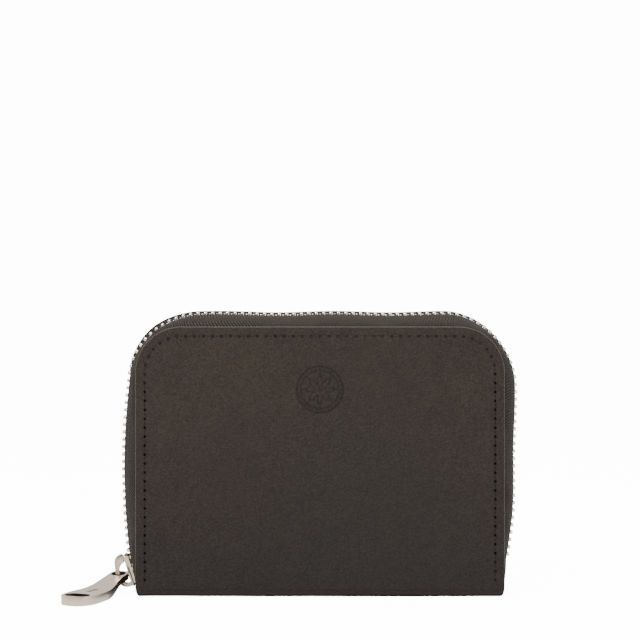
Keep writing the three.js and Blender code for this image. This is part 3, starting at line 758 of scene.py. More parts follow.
def zip_stretches():
    """The chain's line and the panel's rim, stretch by stretch from the closed end at the lower left."""
    zip_top = PANEL_TOP + ZIP_OVERHANG
    corner_z = zip_top - CORNER_RADIUS
    run_z = (BEND_TOP + corner_z) / 2
    run_x = RUN_RADIUS - HALF_WIDTH - RUN_OVERHANG
    side_x = HALF_WIDTH + SIDE_OVERHANG
    left_x = run_x - math.sqrt((RUN_RADIUS - CORNER_RADIUS) ** 2 - (corner_z - run_z) ** 2)
    right_x = side_x - CORNER_RADIUS
    run_end = math.atan2(corner_z - run_z, left_x - run_x)
    run_start = math.pi + math.asin((run_z - BEND_TOP) / RUN_RADIUS)
    toward_start = np.array([math.cos(run_start), math.sin(run_start)])
    bend_start = np.array([run_x, run_z]) + RUN_RADIUS * toward_start
    heading = np.array([math.sin(run_start), -math.cos(run_start)])
    bend_control = bend_start - heading * 0.4 * (BEND_TOP - LEFT_END[1])
    fall = corner_z - RIGHT_END[1]
    quarter = math.pi / 2
    rim_x = HALF_WIDTH - TOP_RADIUS
    rim_z = PANEL_TOP - TOP_RADIUS
    right_curve = [
        (side_x, corner_z),
        (side_x, corner_z - 0.4 * fall),
        (side_x, corner_z - 0.77 * fall),
        RIGHT_END,
    ]
    return [
        (
            bezier_points([LEFT_END, bend_control, bend_start]),
            line_points((-HALF_WIDTH, LEFT_END[1] + 2), (-HALF_WIDTH, BEND_TOP)),
        ),
        (
            arc_points((run_x, run_z), RUN_RADIUS, run_start, run_end),
            line_points((-HALF_WIDTH, BEND_TOP), (-HALF_WIDTH, rim_z)),
        ),
        (
            arc_points((left_x, corner_z), CORNER_RADIUS, run_end, quarter),
            arc_points((-rim_x, rim_z), TOP_RADIUS, math.pi, quarter),
        ),
        (
            line_points((left_x, zip_top), (right_x, zip_top)),
            line_points((-rim_x, PANEL_TOP), (rim_x, PANEL_TOP)),
        ),
        (
            arc_points((right_x, corner_z), CORNER_RADIUS, quarter, 0),
            arc_points((rim_x, rim_z), TOP_RADIUS, quarter, 0),
        ),
        (
            bezier_points(right_curve),
            line_points((HALF_WIDTH, rim_z), (HALF_WIDTH, RIGHT_END[1])),
        ),
    ]


# The slider's travel is the joint's own angle along the run's arc.
SLIDER_TRAVEL = math.radians(joint_range("slider_run")[1]) * RUN_RADIUS
RIPPLE_HEIGHT = 0.25
RIPPLE_LENGTH = 40.0
RIPPLE_FADE = 15.0


class ZipPath:
    """Points and directions on the chain's line and on the rim, at any distance from the closed end."""

    def __init__(self):
        chain, rim, places, start = [], [], [], 0.0
        self.lengths = []
        for zip_points, rim_points in zip_stretches():
            even_zip, length = evenly(zip_points)
            even_rim, _ = evenly(rim_points)
            chain.append(even_zip[:-1])
            rim.append(even_rim[:-1])
            places.append(np.linspace(start, start + length, len(even_zip))[:-1])
            start += length
            self.lengths.append(length)
        chain.append(even_zip[-1:])
        rim.append(even_rim[-1:])
        places.append([start])
        self.length = start
        self.run_end = self.lengths[0] / 2 + SLIDER_TRAVEL
        self.corner_middle = self.lengths[0] + self.lengths[1] + self.lengths[2] / 2
        self.places = np.concatenate(places)
        self.chain = np.concatenate(chain)
        self.rim = np.concatenate(rim)
        self.chain_ahead = self.direction(self.chain)
        self.rim_ahead = self.direction(self.rim)

    def direction(self, points):
        ahead = np.gradient(points, axis=0)
        return ahead / np.maximum(np.linalg.norm(ahead, axis=1), 1e-9)[:, None]

    def read(self, values, distance):
        return np.stack([np.interp(distance, self.places, values[:, axis]) for axis in (0, 1)], -1)

    def at(self, distance):
        """Chain point, chain direction, rim point and rim direction."""
        distance = np.asarray(distance, float)
        found = [self.read(self.chain, distance), self.read(self.chain_ahead, distance)]
        found += [self.read(self.rim, distance), self.read(self.rim_ahead, distance)]
        for directions in (found[1], found[3]):
            directions /= np.linalg.norm(directions, axis=-1)[..., None]
        found[0] = found[0] + outward(found[1]) * self.wander(distance)[..., None]
        return found

    def wander(self, distance):
        """A slight, even ripple in the closed chain, as sewn tape leaves it. The slider's run stays true."""
        past_run = distance - self.run_end
        fade = np.clip(past_run / RIPPLE_FADE, 0, 1) * np.clip((self.length - distance) / RIPPLE_FADE, 0, 1)
        return RIPPLE_HEIGHT * np.sin(past_run / RIPPLE_LENGTH * math.tau) * fade


def outward(ahead):
    return np.stack([-ahead[..., 1], ahead[..., 0]], -1)


zip_path = ZipPath()
SLIDER_AT = zip_path.lengths[0] / 2
FIRST_TOOTH = SLIDER_AT + 0.3
LAST_TOOTH = zip_path.length - 5.0
TOOTH_COUNT = int((LAST_TOOTH - FIRST_TOOTH) / TOOTH_PITCH)


# ======== Zip tapes, cords, teeth and stops ========
def soften(points, rounds):
    """Cuts a line's corners, keeping its ends."""
    for _ in range(rounds):
        first = points[:-1] * 0.75 + points[1:] * 0.25
        second = points[:-1] * 0.25 + points[1:] * 0.75
        cut = np.stack([first, second], 1).reshape(-1, *points.shape[1:])
        points = np.concatenate([points[:1], cut[1:-1], points[-1:]])
    return points


# How far the back tape stands up behind the teeth: on the slider's run, past it and round the corner.
RUN_STAND = 0.3
PAST_RUN_STAND = 0.9
CORNER_STAND = 0.95
STAND_EASE = 10.0
CORNER_REACH = 11.0
TAPE_HALF = 0.22
BACK_ROW_SINK = 0.6


def make_tape(name, side):
    distance = np.arange(0, zip_path.length, 1.0)
    distance = np.append(distance, zip_path.length)
    chain, chain_ahead, rim, rim_ahead = zip_path.at(distance)
    out_chain, out_rim = outward(chain_ahead), outward(rim_ahead)
    wave = 0.25 * np.sin(distance * 0.21) + 0.18 * np.sin(distance * 0.53 + 1)

    def station(base, normal, reach, y):
        point = base + normal * (reach if np.ndim(reach) else np.full(len(base), reach))[:, None]
        return np.stack([point[:, 0], np.full(len(base), side * y), point[:, 1]], -1)

    lifted = rim + (chain - rim) * 0.3
    # The back tape stands up behind the teeth past the slider's run, most of all round the corner.
    corner_lift = CORNER_STAND * np.exp(-(((distance - zip_path.corner_middle) / CORNER_REACH) ** 2))
    above_run = np.clip((distance - zip_path.run_end) / STAND_EASE, 0, 1)
    back_stand = RUN_STAND + PAST_RUN_STAND * above_run + corner_lift
    stand = back_stand if side > 0 else 0.0 * distance
    section = np.stack(
        [
            station(chain, out_chain, -0.25, 2.9),
            station(chain, out_chain, -0.2 + stand * 1.2, 4.1),
            station(chain, out_chain, -0.25 + stand, 5.4),
            station(lifted, out_rim, 0.45 + wave, 9.0),
            station(rim, out_rim, -0.7, 10.7),
            station(rim, out_rim, -4.0, 10.7),
            station(rim, out_rim, -9.0, 10.7),
        ],
        0,
    )
    section = soften(section, 2)
    ahead = np.gradient(section, axis=1)
    along_section = np.gradient(section, axis=0)
    normal = np.cross(along_section, ahead)
    normal /= np.maximum(np.linalg.norm(normal, axis=2), 1e-9)[:, :, None]
    rows, columns = section.shape[0], section.shape[1]
    steps = np.linalg.norm(np.diff(section[:, columns // 2], axis=0), axis=1)
    across = np.concatenate([[0], np.cumsum(steps)])
    uv = np.stack(
        [
            np.tile(distance, rows),
            np.repeat(across, columns),
        ],
        -1,
    )
    painted = {"rim": np.repeat(across, columns)}
    first = (section + normal * TAPE_HALF).reshape(-1, 3)
    second = (section - normal * TAPE_HALF).reshape(-1, 3)
    return sandwich(name, first, second, rows, columns, painted, uv)


def make_cord(name, side):
    """The rope edge that the teeth are clamped on."""
    distance = np.arange(0.6, LAST_TOOTH + 3, 0.8)
    chain, ahead, _, _ = zip_path.at(distance)
    out = outward(ahead)
    turns = np.linspace(0, math.tau, 11)[:-1]
    centre_y = (CORD_INNER + CORD_OUTER) / 2
    points, uv = [], []
    for turn in turns:
        reach = 0.5 * math.cos(turn) - 0.28
        y = side * (centre_y + 0.52 * math.sin(turn))
        point = chain + out * reach
        points.append(np.stack([point[:, 0], np.full(len(point), y), point[:, 1]], -1))
        uv.append(np.stack([distance, np.full(len(distance), turn / math.tau)], -1))
    count = len(distance)
    faces = []
    for ring in range(len(turns)):
        following = (ring + 1) % len(turns)
        for k in range(count - 1):
            a, b = ring * count + k, following * count + k
            faces.append((a, a + 1, b + 1, b))
    faces.append([ring * count for ring in range(len(turns))])
    faces.append([ring * count + count - 1 for ring in range(len(turns))])
    cord = mesh_piece(name, np.concatenate(points), faces, None, np.concatenate(uv))
    face_outwards(cord)
    smooth_by_angle(cord, 60)
    return cord


def select_faces(obj, test):
    """In object mode, selects just the faces whose centre and normal pass a test."""
    for vertex in obj.data.vertices:
        vertex.select = False
    for edge in obj.data.edges:
        edge.select = False
    for face in obj.data.polygons:
        face.select = bool(test(face.center, face.normal))


def make_one_tooth():
    """One metal tooth at the origin: X along the zip, Y across with the clamp at +Y, Z outwards."""
    deselect_all()
    bpy.ops.mesh.primitive_cube_add(size=1, location=(0, 2.45 * MM, 0))
    tooth = bpy.context.object
    tooth.scale = (CLAMP_WIDTH * MM, 1.7 * MM, 2 * TOOTH_HALF * MM)
    bpy.ops.object.transform_apply(location=True, rotation=True, scale=True)
    select_faces(tooth, lambda centre, normal: normal.y < -0.9)
    bpy.ops.object.mode_set(mode="EDIT")
    bpy.ops.mesh.select_mode(type="FACE")
    bpy.ops.mesh.extrude_region_move(TRANSFORM_OT_translate={"value": (0, -0.5 * MM, 0)})
    bpy.ops.transform.resize(value=(0.8, 1.0, 0.9))
    bpy.ops.mesh.extrude_region_move(TRANSFORM_OT_translate={"value": (0, -1.6 * MM, 0)})
    bpy.ops.transform.resize(value=(1.0, 1.0, 1.05))
    bpy.ops.mesh.extrude_region_move(TRANSFORM_OT_translate={"value": (0, -0.35 * MM, 0)})
    bpy.ops.transform.resize(value=(0.6, 1.0, 0.72))
    bpy.ops.object.mode_set(mode="OBJECT")
    apply_modifier(tooth, "BEVEL", width=0.24 * MM, segments=1, limit_method="ANGLE")
    return tooth


def make_teeth(name, side, pattern):
    """Copies of one tooth, set square to the zip's path and clamped on one tape."""
    points = points_of(pattern)
    faces = [tuple(face.vertices) for face in pattern.data.polygons]
    phase = 0.0 if side < 0 else TOOTH_PITCH / 2
    centres = FIRST_TOOTH + phase + np.arange(TOOTH_COUNT) * TOOTH_PITCH + TOOTH_WIDTH / 2
    chain, ahead, _, _ = zip_path.at(centres)
    out = outward(ahead)
    sink = 0.0 if side < 0 else BACK_ROW_SINK
    all_points, all_faces = [], []
    for k in range(TOOTH_COUNT):
        wobble = 0.035 * math.sin(k * 12.9898)
        flat = points * [1, 1, 1 + 0.4 * wobble]
        shift = flat[:, 0:1] * ahead[k] + (flat[:, 2:3] + wobble - sink) * out[k]
        placed = np.stack([chain[k, 0] + shift[:, 0], side * flat[:, 1], chain[k, 1] + shift[:, 1]], -1)
        start = len(points) * k
        all_points.append(placed)
        all_faces += [tuple(start + index for index in face) for face in faces]
    # Painted shade: each tooth's two sides along the zip are marked to be painted dark, as for the shade in
    # the gaps between teeth.
    painted_shade = np.tile(np.abs(points[:, 0]) / (CLAMP_WIDTH / 2), TOOTH_COUNT)
    teeth = mesh_piece(name, np.concatenate(all_points), all_faces, {"painted_shade": painted_shade})
    face_outwards(teeth)
    smooth_by_angle(teeth, 50)
    return teeth


def placed_on_zip(distance):
    """The matrix that stands a piece on the zip's path: +Z along it, -X out of the purse."""
    chain, ahead, _, _ = zip_path.at([distance])
    turn = math.atan2(ahead[0, 0], ahead[0, 1])
    return Matrix.Translation((chain[0, 0] * MM, 0, chain[0, 1] * MM)) @ Matrix.Rotation(turn, 4, "Y")


def make_stop(name, distance, low_y, high_y):
    """A crimped metal stop with a waist pressed in its outer face."""
    deselect_all()
    bpy.ops.mesh.primitive_cube_add(size=1, location=(0, (low_y + high_y) / 2 * MM, 0))
    stop = bpy.context.object
    stop.name = name
    stop.scale = (1.4 * MM, (high_y - low_y) * MM, 2.4 * MM)
    bpy.ops.object.transform_apply(location=True, rotation=True, scale=True)
    select_faces(stop, lambda centre, normal: abs(normal.x) > 0.9)
    bpy.ops.object.mode_set(mode="EDIT")
    bpy.ops.mesh.select_mode(type="FACE")
    bpy.ops.mesh.inset(thickness=0.16 * MM, depth=0.0)
    bpy.ops.mesh.inset(thickness=0.1 * MM, depth=-0.12 * MM)
    bpy.ops.object.mode_set(mode="OBJECT")
    apply_modifier(stop, "BEVEL", width=0.14 * MM, segments=2, limit_method="ANGLE")
    stop.data.transform(placed_on_zip(distance))
    smooth_by_angle(stop, 40)
    return stop


# ======== Slider and pull ========
def plate_from(name, outline, thickness, holes=()):
    """A plate with that outline in X and Y, extruded up from z = 0, with holes cut through."""
    deselect_all()
    bpy.ops.mesh.primitive_circle_add(vertices=len(outline), radius=MM, fill_type="NGON", location=(0, 0, 0))
    plate = bpy.context.object
    plate.name = name
    for vertex, (x, y) in zip(plate.data.vertices, outline):
        vertex.co = (x * MM, y * MM, 0)
    bpy.ops.object.mode_set(mode="EDIT")
    bpy.ops.mesh.select_all(action="SELECT")
    bpy.ops.mesh.extrude_region_move(TRANSFORM_OT_translate={"value": (0, 0, thickness * MM)})
    bpy.ops.mesh.select_all(action="SELECT")
    bpy.ops.mesh.normals_make_consistent(inside=False)
    bpy.ops.object.mode_set(mode="OBJECT")
    for hole in holes:
        cutter = plate_from("cutter", hole, thickness + 2)
        cutter.data.transform(Matrix.Translation((0, 0, -MM)))
        combine(plate, cutter, "DIFFERENCE")
    return plate


def combine(obj, other, operation):
    """Joins, cuts or intersects with another piece, which is used up."""
    apply_modifier(obj, "BOOLEAN", object=other, operation=operation, solver="EXACT")
    bpy.data.objects.remove(other)


def to_cross(x0):
    """Stands a plate drawn in X and Y across the zip: X to Y, Y to Z, thickness to X from x0."""
    return Matrix(((0, 0, 1, x0 * MM), (1, 0, 0, 0), (0, 1, 0, 0), (0, 0, 0, 1)))


SLIDER_BOTTOM = -6.5
SLIDER_TOP = 5.0
# The middle of the hook's bar: out of the zip, and along it.
BAR_OUT = 7.05
BAR_ALONG = -3.0


def slider_plate_outline():
    upper, lower = 3.9, 4.5
    bottom, top = SLIDER_BOTTOM, SLIDER_TOP
    shoulder = -1.325
    right = [(0.55 * lower, bottom)]
    corner = [(0.55 * lower, bottom), (lower, bottom), (lower, bottom + 2.2)]
    right += [tuple(p) for p in bezier_points(corner, 9)[1:]]
    waist = [(lower, shoulder - 0.6), (lower, shoulder + 0.7)]
    waist += [(upper, shoulder + 1.1), (upper, shoulder + 2.6)]
    right += [tuple(p) for p in bezier_points(waist, 8)]
    right += [tuple(p) for p in bezier_points([(upper, top - 1.4), (upper, top), (upper - 1.4, top)], 7)]
    left = [(-x, y) for x, y in right[::-1]]
    return right + left


def hook_outline():
    """The hook seen from the front: X out of the plate to the left, Y along the zip."""
    face, bottom, reach = -2.55, SLIDER_BOTTOM, 4.85

    def at(out, up):
        return (face - out, bottom + up)

    pieces = [
        [at(-0.4, 0.2), at(3, -0.7), at(reach, 1.1), at(reach, 4.1)],
        [at(reach, 4.1), at(reach, 6.5), at(reach - 0.55, 7.9), at(reach - 0.75, 9.7)],
        [at(reach - 0.75, 9.7), at(reach - 1.25, 11.3), at(2.2, 12), at(0.9, 11.9)],
        [at(0.9, 11.9), at(0.25, 11.7), at(0.3, 10.2), at(0.55, 9.8)],
        [at(0.55, 9.8), at(0.6, 8.7), at(1.2, 8.5)],
        [at(1.2, 8.5), at(2.6, 8.1), at(reach - 1.75, 6.7)],
        [at(reach - 1.75, 6.7), at(reach - 1.35, 4.9), at(reach - 1.45, 2.9), at(2.4, 1.9)],
        [at(2.4, 1.9), at(1.6, 1.3), at(-0.4, 1.5)],
    ]
    outline = []
    for controls in pieces:
        outline += [tuple(p) for p in bezier_points(controls, 9)[:-1]]
    outline.append(at(-0.4, 1.5))
    return outline


def make_slider():
    plates = []
    for x0 in (-2.55, 1.55):
        plate = plate_from("slider_plate", slider_plate_outline(), 1.0)
        plate.data.transform(to_cross(x0))
        apply_modifier(plate, "BEVEL", width=0.3 * MM, segments=3, limit_method="ANGLE")
        plates.append(plate)
    body = plates[0]
    combine(body, plates[1], "UNION")
    wedge = plate_from("wedge", [(0, -6.0), (1.05, -3.2), (0, -0.4), (-1.05, -3.2)], 4.7)
    wedge.data.transform(to_cross(-2.35))
    apply_modifier(wedge, "BEVEL", width=0.15 * MM, segments=2, limit_method="ANGLE")
    combine(body, wedge, "UNION")
    for side in (-1, 1):
        for x0 in (-1.85, 0.8):
            outline = [(side * 3.36, -5.4), (side * 3.9, -5.4), (side * 3.9, 4.4), (side * 3.36, 4.4)]
            lip = plate_from("lip", outline[::side], 1.05)
            lip.data.transform(to_cross(x0))
            combine(body, lip, "UNION")
    hook = plate_from("hook", hook_outline(), 1.9)
    stand = Matrix(((1, 0, 0, 0), (0, 0, -1, 0.95 * MM), (0, 1, 0, 0), (0, 0, 0, 1)))
    hook.data.transform(stand)
    apply_modifier(hook, "BEVEL", width=0.42 * MM, segments=3, limit_method="ANGLE")
    combine(body, hook, "UNION")
    body.name = "slider"
    # Painted shade and painted reflection: faces that turn away from the slider's front and back are marked
    # to be painted dark.
    normals = np.array([vertex.normal.y for vertex in body.data.vertices])
    paint(body, "painted_shade", (1 - np.abs(normals)) * 0.9)
    body.data.transform(placed_on_zip(SLIDER_AT))
    smooth_by_angle(body, 38)
    return body


def stadium(centre, length, width, steps=10):
    radius = length / 2
    flat = width / 2 - radius

    def end(middle, start):
        turns = np.linspace(start, start + math.pi, steps)
        return [(centre + radius * math.cos(turn), middle + radius * math.sin(turn)) for turn in turns]

    return end(-flat, -math.pi) + end(flat, 0)


PULL_SWIVEL = 67.0
PULL_REACH = 32.3
PULL_WIDE = 12.5
NECK_Z = 5.2
NECK_SLOPE = math.tan(math.radians(11))
# Middle, length along the pull and width across it of each slot and of the engraved marks.
NECK_SLOT = (0, 3.9, 5.4)
WIDE_SLOT = (PULL_REACH - 4.9, 5.4, 9.2)
MARKS = (17.7, 5.6, 4.6)


def pull_outline():
    neck, wide, back, end = 3.5, PULL_WIDE / 2, -2.85, PULL_REACH
    lower = [(back, 0.0)]
    pieces = [
        [(back, 2.7 - neck), (back, -neck), (back + 2.7, -neck)],
        [(2.95, -neck), (9, -neck), (14, -wide), (end - 7.6, -wide)],
        [(end - 7.6, -wide), (end - 2, -wide), (end, 3 - wide), (end, 0)],
    ]
    for controls in pieces:
        lower += [tuple(p) for p in bezier_points(controls, 14)]
    upper = [(x, -y) for x, y in lower[::-1] if y < -0.001]
    return [point for k, point in enumerate(lower + upper) if k == 0 or point != (lower + upper)[k - 1]]


def pull_profile():
    """The pull's bend from the side: sloping neck, S-bend, wide end on the ground."""
    back, neck_end, bend_end, floor, thick, half = -5.0, 2.95, 17.0, 0.05, 3.0, 1.1

    def neck(x, rise):
        return (x, NECK_Z - NECK_SLOPE * x + rise)

    def line(rise, flat):
        bend = [neck(neck_end, rise), neck(neck_end + 5, rise), (bend_end - 7, flat), (bend_end, flat)]
        points = [tuple(p) for p in bezier_points(bend, 20)]
        return [neck(back, rise)] + points + [(PULL_REACH + 1, flat)]

    return line(-half, floor) + line(half, floor + thick)[::-1]


def pull_painted_shade(pull):
    """How dark each face is painted, up to 1: painted reflection of the dark purse on the sides, and painted
    shade on the underside and in the slots and engraved marks.
    """
    faces = pull.data.polygons
    x, y, z = np.array([face.center for face in faces]).T / MM
    upright = np.array([face.normal.z for face in faces])
    profile = np.array(pull_profile())
    over = profile[len(profile) // 2 :][::-1]
    below_top = np.interp(x, over[:, 0], over[:, 1]) - z
    neck = np.clip((17.5 - x) / 4, 0, 1)
    painted_shade = np.where(np.abs(upright) < 0.5, 0.74 + 0.26 * neck, 0.0)
    painted_shade = np.where(upright < -0.5, 1.0, painted_shade)
    for centre, length, width in (NECK_SLOT, WIDE_SLOT, MARKS):
        inside = (np.abs(x - centre) < length / 2 + 0.1) & (np.abs(y) < width / 2 + 0.1)
        painted_shade = np.where(inside & (below_top > 0.12), 1.0, painted_shade)
    return painted_shade


def make_pull(bar):
    """bar is where the slider's hook passes through the neck, in millimetres."""
    holes = [stadium(*NECK_SLOT), stadium(*WIDE_SLOT)]
    pull = plate_from("pull", pull_outline(), 12.0, holes)
    pull.data.transform(Matrix.Translation((0, 0, -MM)))
    profile = plate_from("profile", pull_profile(), PULL_WIDE + 2)
    stand = Matrix(((1, 0, 0, 0), (0, 0, -1, (PULL_WIDE / 2 + 1) * MM), (0, 1, 0, 0), (0, 0, 0, 1)))
    profile.data.transform(stand)
    combine(pull, profile, "INTERSECT")
    rounding = {"width": 0.55 * MM, "segments": 4}
    apply_modifier(pull, "BEVEL", limit_method="ANGLE", angle_limit=math.radians(42), **rounding)
    for column, reach in enumerate((1.5, 2.2, 1.5)):
        centre = 15.6 + 2.1 * column
        lozenge = [(centre - 0.62, 0), (centre, -reach), (centre + 0.62, 0), (centre, reach)]
        mark = plate_from("mark", lozenge, 1.0)
        mark.data.transform(Matrix.Translation((0, 0, 2.75 * MM)))
        combine(pull, mark, "DIFFERENCE")
    # Painted shade and painted reflection, one value for each face.
    paint(pull, "painted_shade", pull_painted_shade(pull), "FACE")
    turn = Matrix.Rotation(math.pi + math.radians(PULL_SWIVEL), 4, "Z")
    pull.data.transform(Matrix.Translation((bar[0] * MM, bar[1] * MM, 0)) @ turn)
    pull.name = "pull"
    smooth_by_angle(pull, 38)
    return pull


# ======== Stitches ========
def seam_route(inset, low_end):
    """The seam's line on a panel: up the left side, round the top and down the right."""
    side = HALF_WIDTH - inset
    radius = TOP_RADIUS - inset
    corner = (HALF_WIDTH - TOP_RADIUS, PANEL_TOP - TOP_RADIUS)
    stretches = [
        line_points((-side, low_end), (-side, corner[1])),
        arc_points((-corner[0], corner[1]), radius, math.pi, math.pi / 2),
        line_points((-corner[0], PANEL_TOP - inset), (corner[0], PANEL_TOP - inset)),
        arc_points(corner, radius, math.pi / 2, 0),
        line_points((side, corner[1]), (side, low_end)),
    ]
    return np.concatenate(stretches)


def make_one_stitch():
    """A thread's visible length between two holes: X along the seam, Z away from the leather."""
    deselect_all()
    bpy.ops.mesh.primitive_uv_sphere_add(segments=8, ring_count=7, radius=1, location=(0, 0, 0))
    stitch = bpy.context.object
    stitch.data.transform(Matrix.Rotation(math.pi / 2, 4, "Y"))
    for vertex in stitch.data.vertices:
        bow = vertex.co.x
        vertex.co = (bow * 1.1 * MM, vertex.co.y * 0.2 * MM, (vertex.co.z * 0.1 - 0.16 * bow * bow) * MM)
    return stitch


def make_one_hole():
    """A needle hole: a small dished ring, deeper in the middle."""
    deselect_all()
    bpy.ops.mesh.primitive_circle_add(vertices=12, radius=0.5 * MM, fill_type="NGON", location=(0, 0, 0))
    hole = bpy.context.object
    bpy.ops.object.mode_set(mode="EDIT")
    bpy.ops.mesh.select_all(action="SELECT")
    bpy.ops.mesh.inset(thickness=0.1 * MM, depth=0.0)
    bpy.ops.mesh.inset(thickness=0.12 * MM, depth=-0.1 * MM)
    bpy.ops.object.mode_set(mode="OBJECT")
    hole.data.transform(Matrix.Diagonal((1.0, 0.8, 1.0, 1.0)))
    return hole


def copies_along(name, pattern, route, pitch, start, side, y, tilt=0.0):
    """Copies of a small piece along a seam on a panel, X along the seam and Z out of the leather."""
    lengths = np.concatenate([[0], np.cumsum(np.linalg.norm(np.diff(route, axis=0), axis=1))])
    count = int(round((lengths[-1] - 0.01) / pitch))
    pitch = lengths[-1] / count
    places = (np.arange(count if start else count + 1) + start) * pitch
    points = points_of(pattern)
    faces = [tuple(face.vertices) for face in pattern.data.polygons]
    all_points, all_faces = [], []
    for k, place in enumerate(places):
        here = np.array([np.interp(place, lengths, route[:, axis]) for axis in (0, 1)])
        ahead_point = np.array([np.interp(place + 0.2, lengths, route[:, axis]) for axis in (0, 1)])
        behind = np.array([np.interp(place - 0.2, lengths, route[:, axis]) for axis in (0, 1)])
        ahead = (ahead_point - behind) / np.linalg.norm(ahead_point - behind)
        angle = tilt + 0.05 * math.sin(k * 7.77)
        cos, sin = math.cos(angle), math.sin(angle)
        ahead = np.array([ahead[0] * cos - ahead[1] * sin, ahead[0] * sin + ahead[1] * cos])
        out = np.array([-ahead[1], ahead[0]])
        flat = here + points[:, 0:1] * ahead + points[:, 1:2] * out
        placed = np.stack([flat[:, 0], side * (y + points[:, 2]), flat[:, 1]], -1)
        all_points.append(placed)
        all_faces += [tuple(len(points) * k + index for index in face) for face in faces]
    made = mesh_piece(name, np.concatenate(all_points), all_faces)
    return made


# ======== Putting it together ========
def dress(obj, material, smooth=40):
    obj.data.materials.clear()
    obj.data.materials.append(material)
    if smooth:
        smooth_by_angle(obj, smooth)
    return obj


leather = vegetable_leather()
calf = inner_leather()
tape_cloth = twill("tape_herringbone", rgb(3, 2, 2), rgb(60, 52, 43), 1.0, 0.02)
lining_cloth = twill("lining_twill", rgb(44, 35, 28), rgb(84, 70, 56), 0.5, 0.1)
yarn = cord_yarn()
tooth_metal = nickel("tooth_nickel", rgb(240, 234, 224), rgb(218, 208, 194), 0.2, 0.3)
slider_metal = nickel("slider_nickel", rgb(214, 199, 179), rgb(186, 170, 150), 0.22, 0.5)
pull_metal = nickel("pull_nickel", rgb(242, 226, 206), rgb(220, 203, 183), 0.28, 0.7)
thread = sewing_thread()
hole_dark = needle_hole()
board = grey_board()

for half in ("front", "back"):
    stiffener = frame["nodes"][half + "_stiffener"]
    stiffener.data.materials.clear()
    stiffener.data.materials.append(board)

# The cover: one hide folded round the purse's base, baked in place and not attached to either half.
cover = dress(make_cover(), leather, 60)
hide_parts("front_panel", "spine", "back_panel")
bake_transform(cover)

# Linings, card slots and the coin pocket's walls.
for half in ("front", "back"):
    body = half + "_half"
    leaf = make_leaf(half + "_lining_cloth", half + "_lining", 14.8, 2.0, 2.0, 0.0, 0.1)
    lining = dress(leaf, lining_cloth)
    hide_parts(half + "_lining")
    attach(lining, body)
    for place in ("upper", "lower"):
        node = half + "_card_slot_" + place
        slot = dress(make_leaf(node + "_leather", node, 4.0, 2.0, 1.8, 2.2, 0.1), calf)
        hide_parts(node)
        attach(slot, body)

base_cloth = dress(make_floor_leaf("base_lining_cloth", "base_lining"), lining_cloth)
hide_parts("base_lining")
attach(base_cloth, "back_half")

for wall in ("front", "back"):
    node = "coin_pocket_" + wall
    pocket = dress(make_leaf(node + "_wall", node, 5.0, 2.0, 1.6, 1.2, 0.08), calf)
    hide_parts(node)
    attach(pocket, "coin_pocket")
pocket_floor = dress(make_floor_leaf("coin_pocket_floor", "coin_pocket_base"), calf)
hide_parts("coin_pocket_base")
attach(pocket_floor, "coin_pocket")

for label, sign in (("left", -1), ("right", 1)):
    edge, reach = sign * 43.4, 2.0
    corners = [(edge, -reach), (edge - sign * 6.0, 0), (edge, reach)]
    strip = make_folded_strip("coin_pocket_" + label + "_fold", corners, 0.8, 0.6, 4.25, 59.0, 3.0, 6.0)
    dress(strip, calf)
    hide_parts("coin_pocket_side_" + label)
    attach(strip, "coin_pocket")

    outer, fold, leg = sign * 58.0, sign * (58.0 - 13.3), 4.65
    corners = [(outer, -2 * leg), (fold, -leg), (outer, 0), (fold, leg), (outer, 2 * leg)]
    gusset = make_folded_strip(label + "_gusset_leather", corners, 1.2, 0.6, 2.75, 60.0, 7.0, 13.3)
    dress(gusset, calf)
    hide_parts(label + "_gusset")
    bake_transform(gusset)

# The zip: woven tapes, rope edges, teeth and stops.
tooth = make_one_tooth()
for half, side in (("front", -1), ("back", 1)):
    tape = dress(make_tape(half + "_tape", side), tape_cloth, 60)
    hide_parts(half + "_zip_tape")
    cord = dress(make_cord(half + "_rope_edge", side), yarn, 0)
    teeth = dress(make_teeth(half + "_teeth", side, tooth), tooth_metal, 0)
    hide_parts(half + "_zip_chain")
    stop = make_stop(half + "_crimp", SLIDER_AT - 3.2, *sorted((side * 1.3, side * 2.1)))
    dress(stop, tooth_metal, 0)
    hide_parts(half + "_top_stop")
    for piece in (tape, cord, teeth, stop):
        if side < 0:
            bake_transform(piece)
        else:
            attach(piece, "back_half")
bpy.data.objects.remove(tooth)
box_stop = dress(make_stop("end_stop", zip_path.length - 2.2, -2.1, 2.1), tooth_metal, 0)
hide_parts("bottom_stop")
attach(box_stop, "back_half")

# Slider and pull.
slider = dress(make_slider(), slider_metal, 0)
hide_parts("slider_body")
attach(slider, "slider")
bar = placed_on_zip(SLIDER_AT) @ Vector((-BAR_OUT * MM, 0, BAR_ALONG * MM))
pull = dress(make_pull((bar.x / MM, bar.y / MM)), pull_metal, 0)
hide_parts("pull_tab")
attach(pull, "pull")

# Seams on both panels.
stitch, needle = make_one_stitch(), make_one_hole()
for half, side in (("front", -1), ("back", 1)):
    route = seam_route(SEAM_INSET, 6.0)
    thread_y = HALF_DEPTH - 0.13
    threads = copies_along(half + "_stitches", stitch, route, STITCH_PITCH, 0.5, side, thread_y, 0.06)
    face_outwards(threads)
    dress(threads, thread, 60)
    holes = copies_along(half + "_needle_holes", needle, route, STITCH_PITCH, 0, side, HALF_DEPTH + 0.02)
    dress(holes, hole_dark, 60)
    for piece in (threads, holes):
        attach(piece, half + "_half")
bpy.data.objects.remove(stitch)
bpy.data.objects.remove(needle)


# ======== Floor, light and camera ========
BACKDROP_GLOW = 14.0


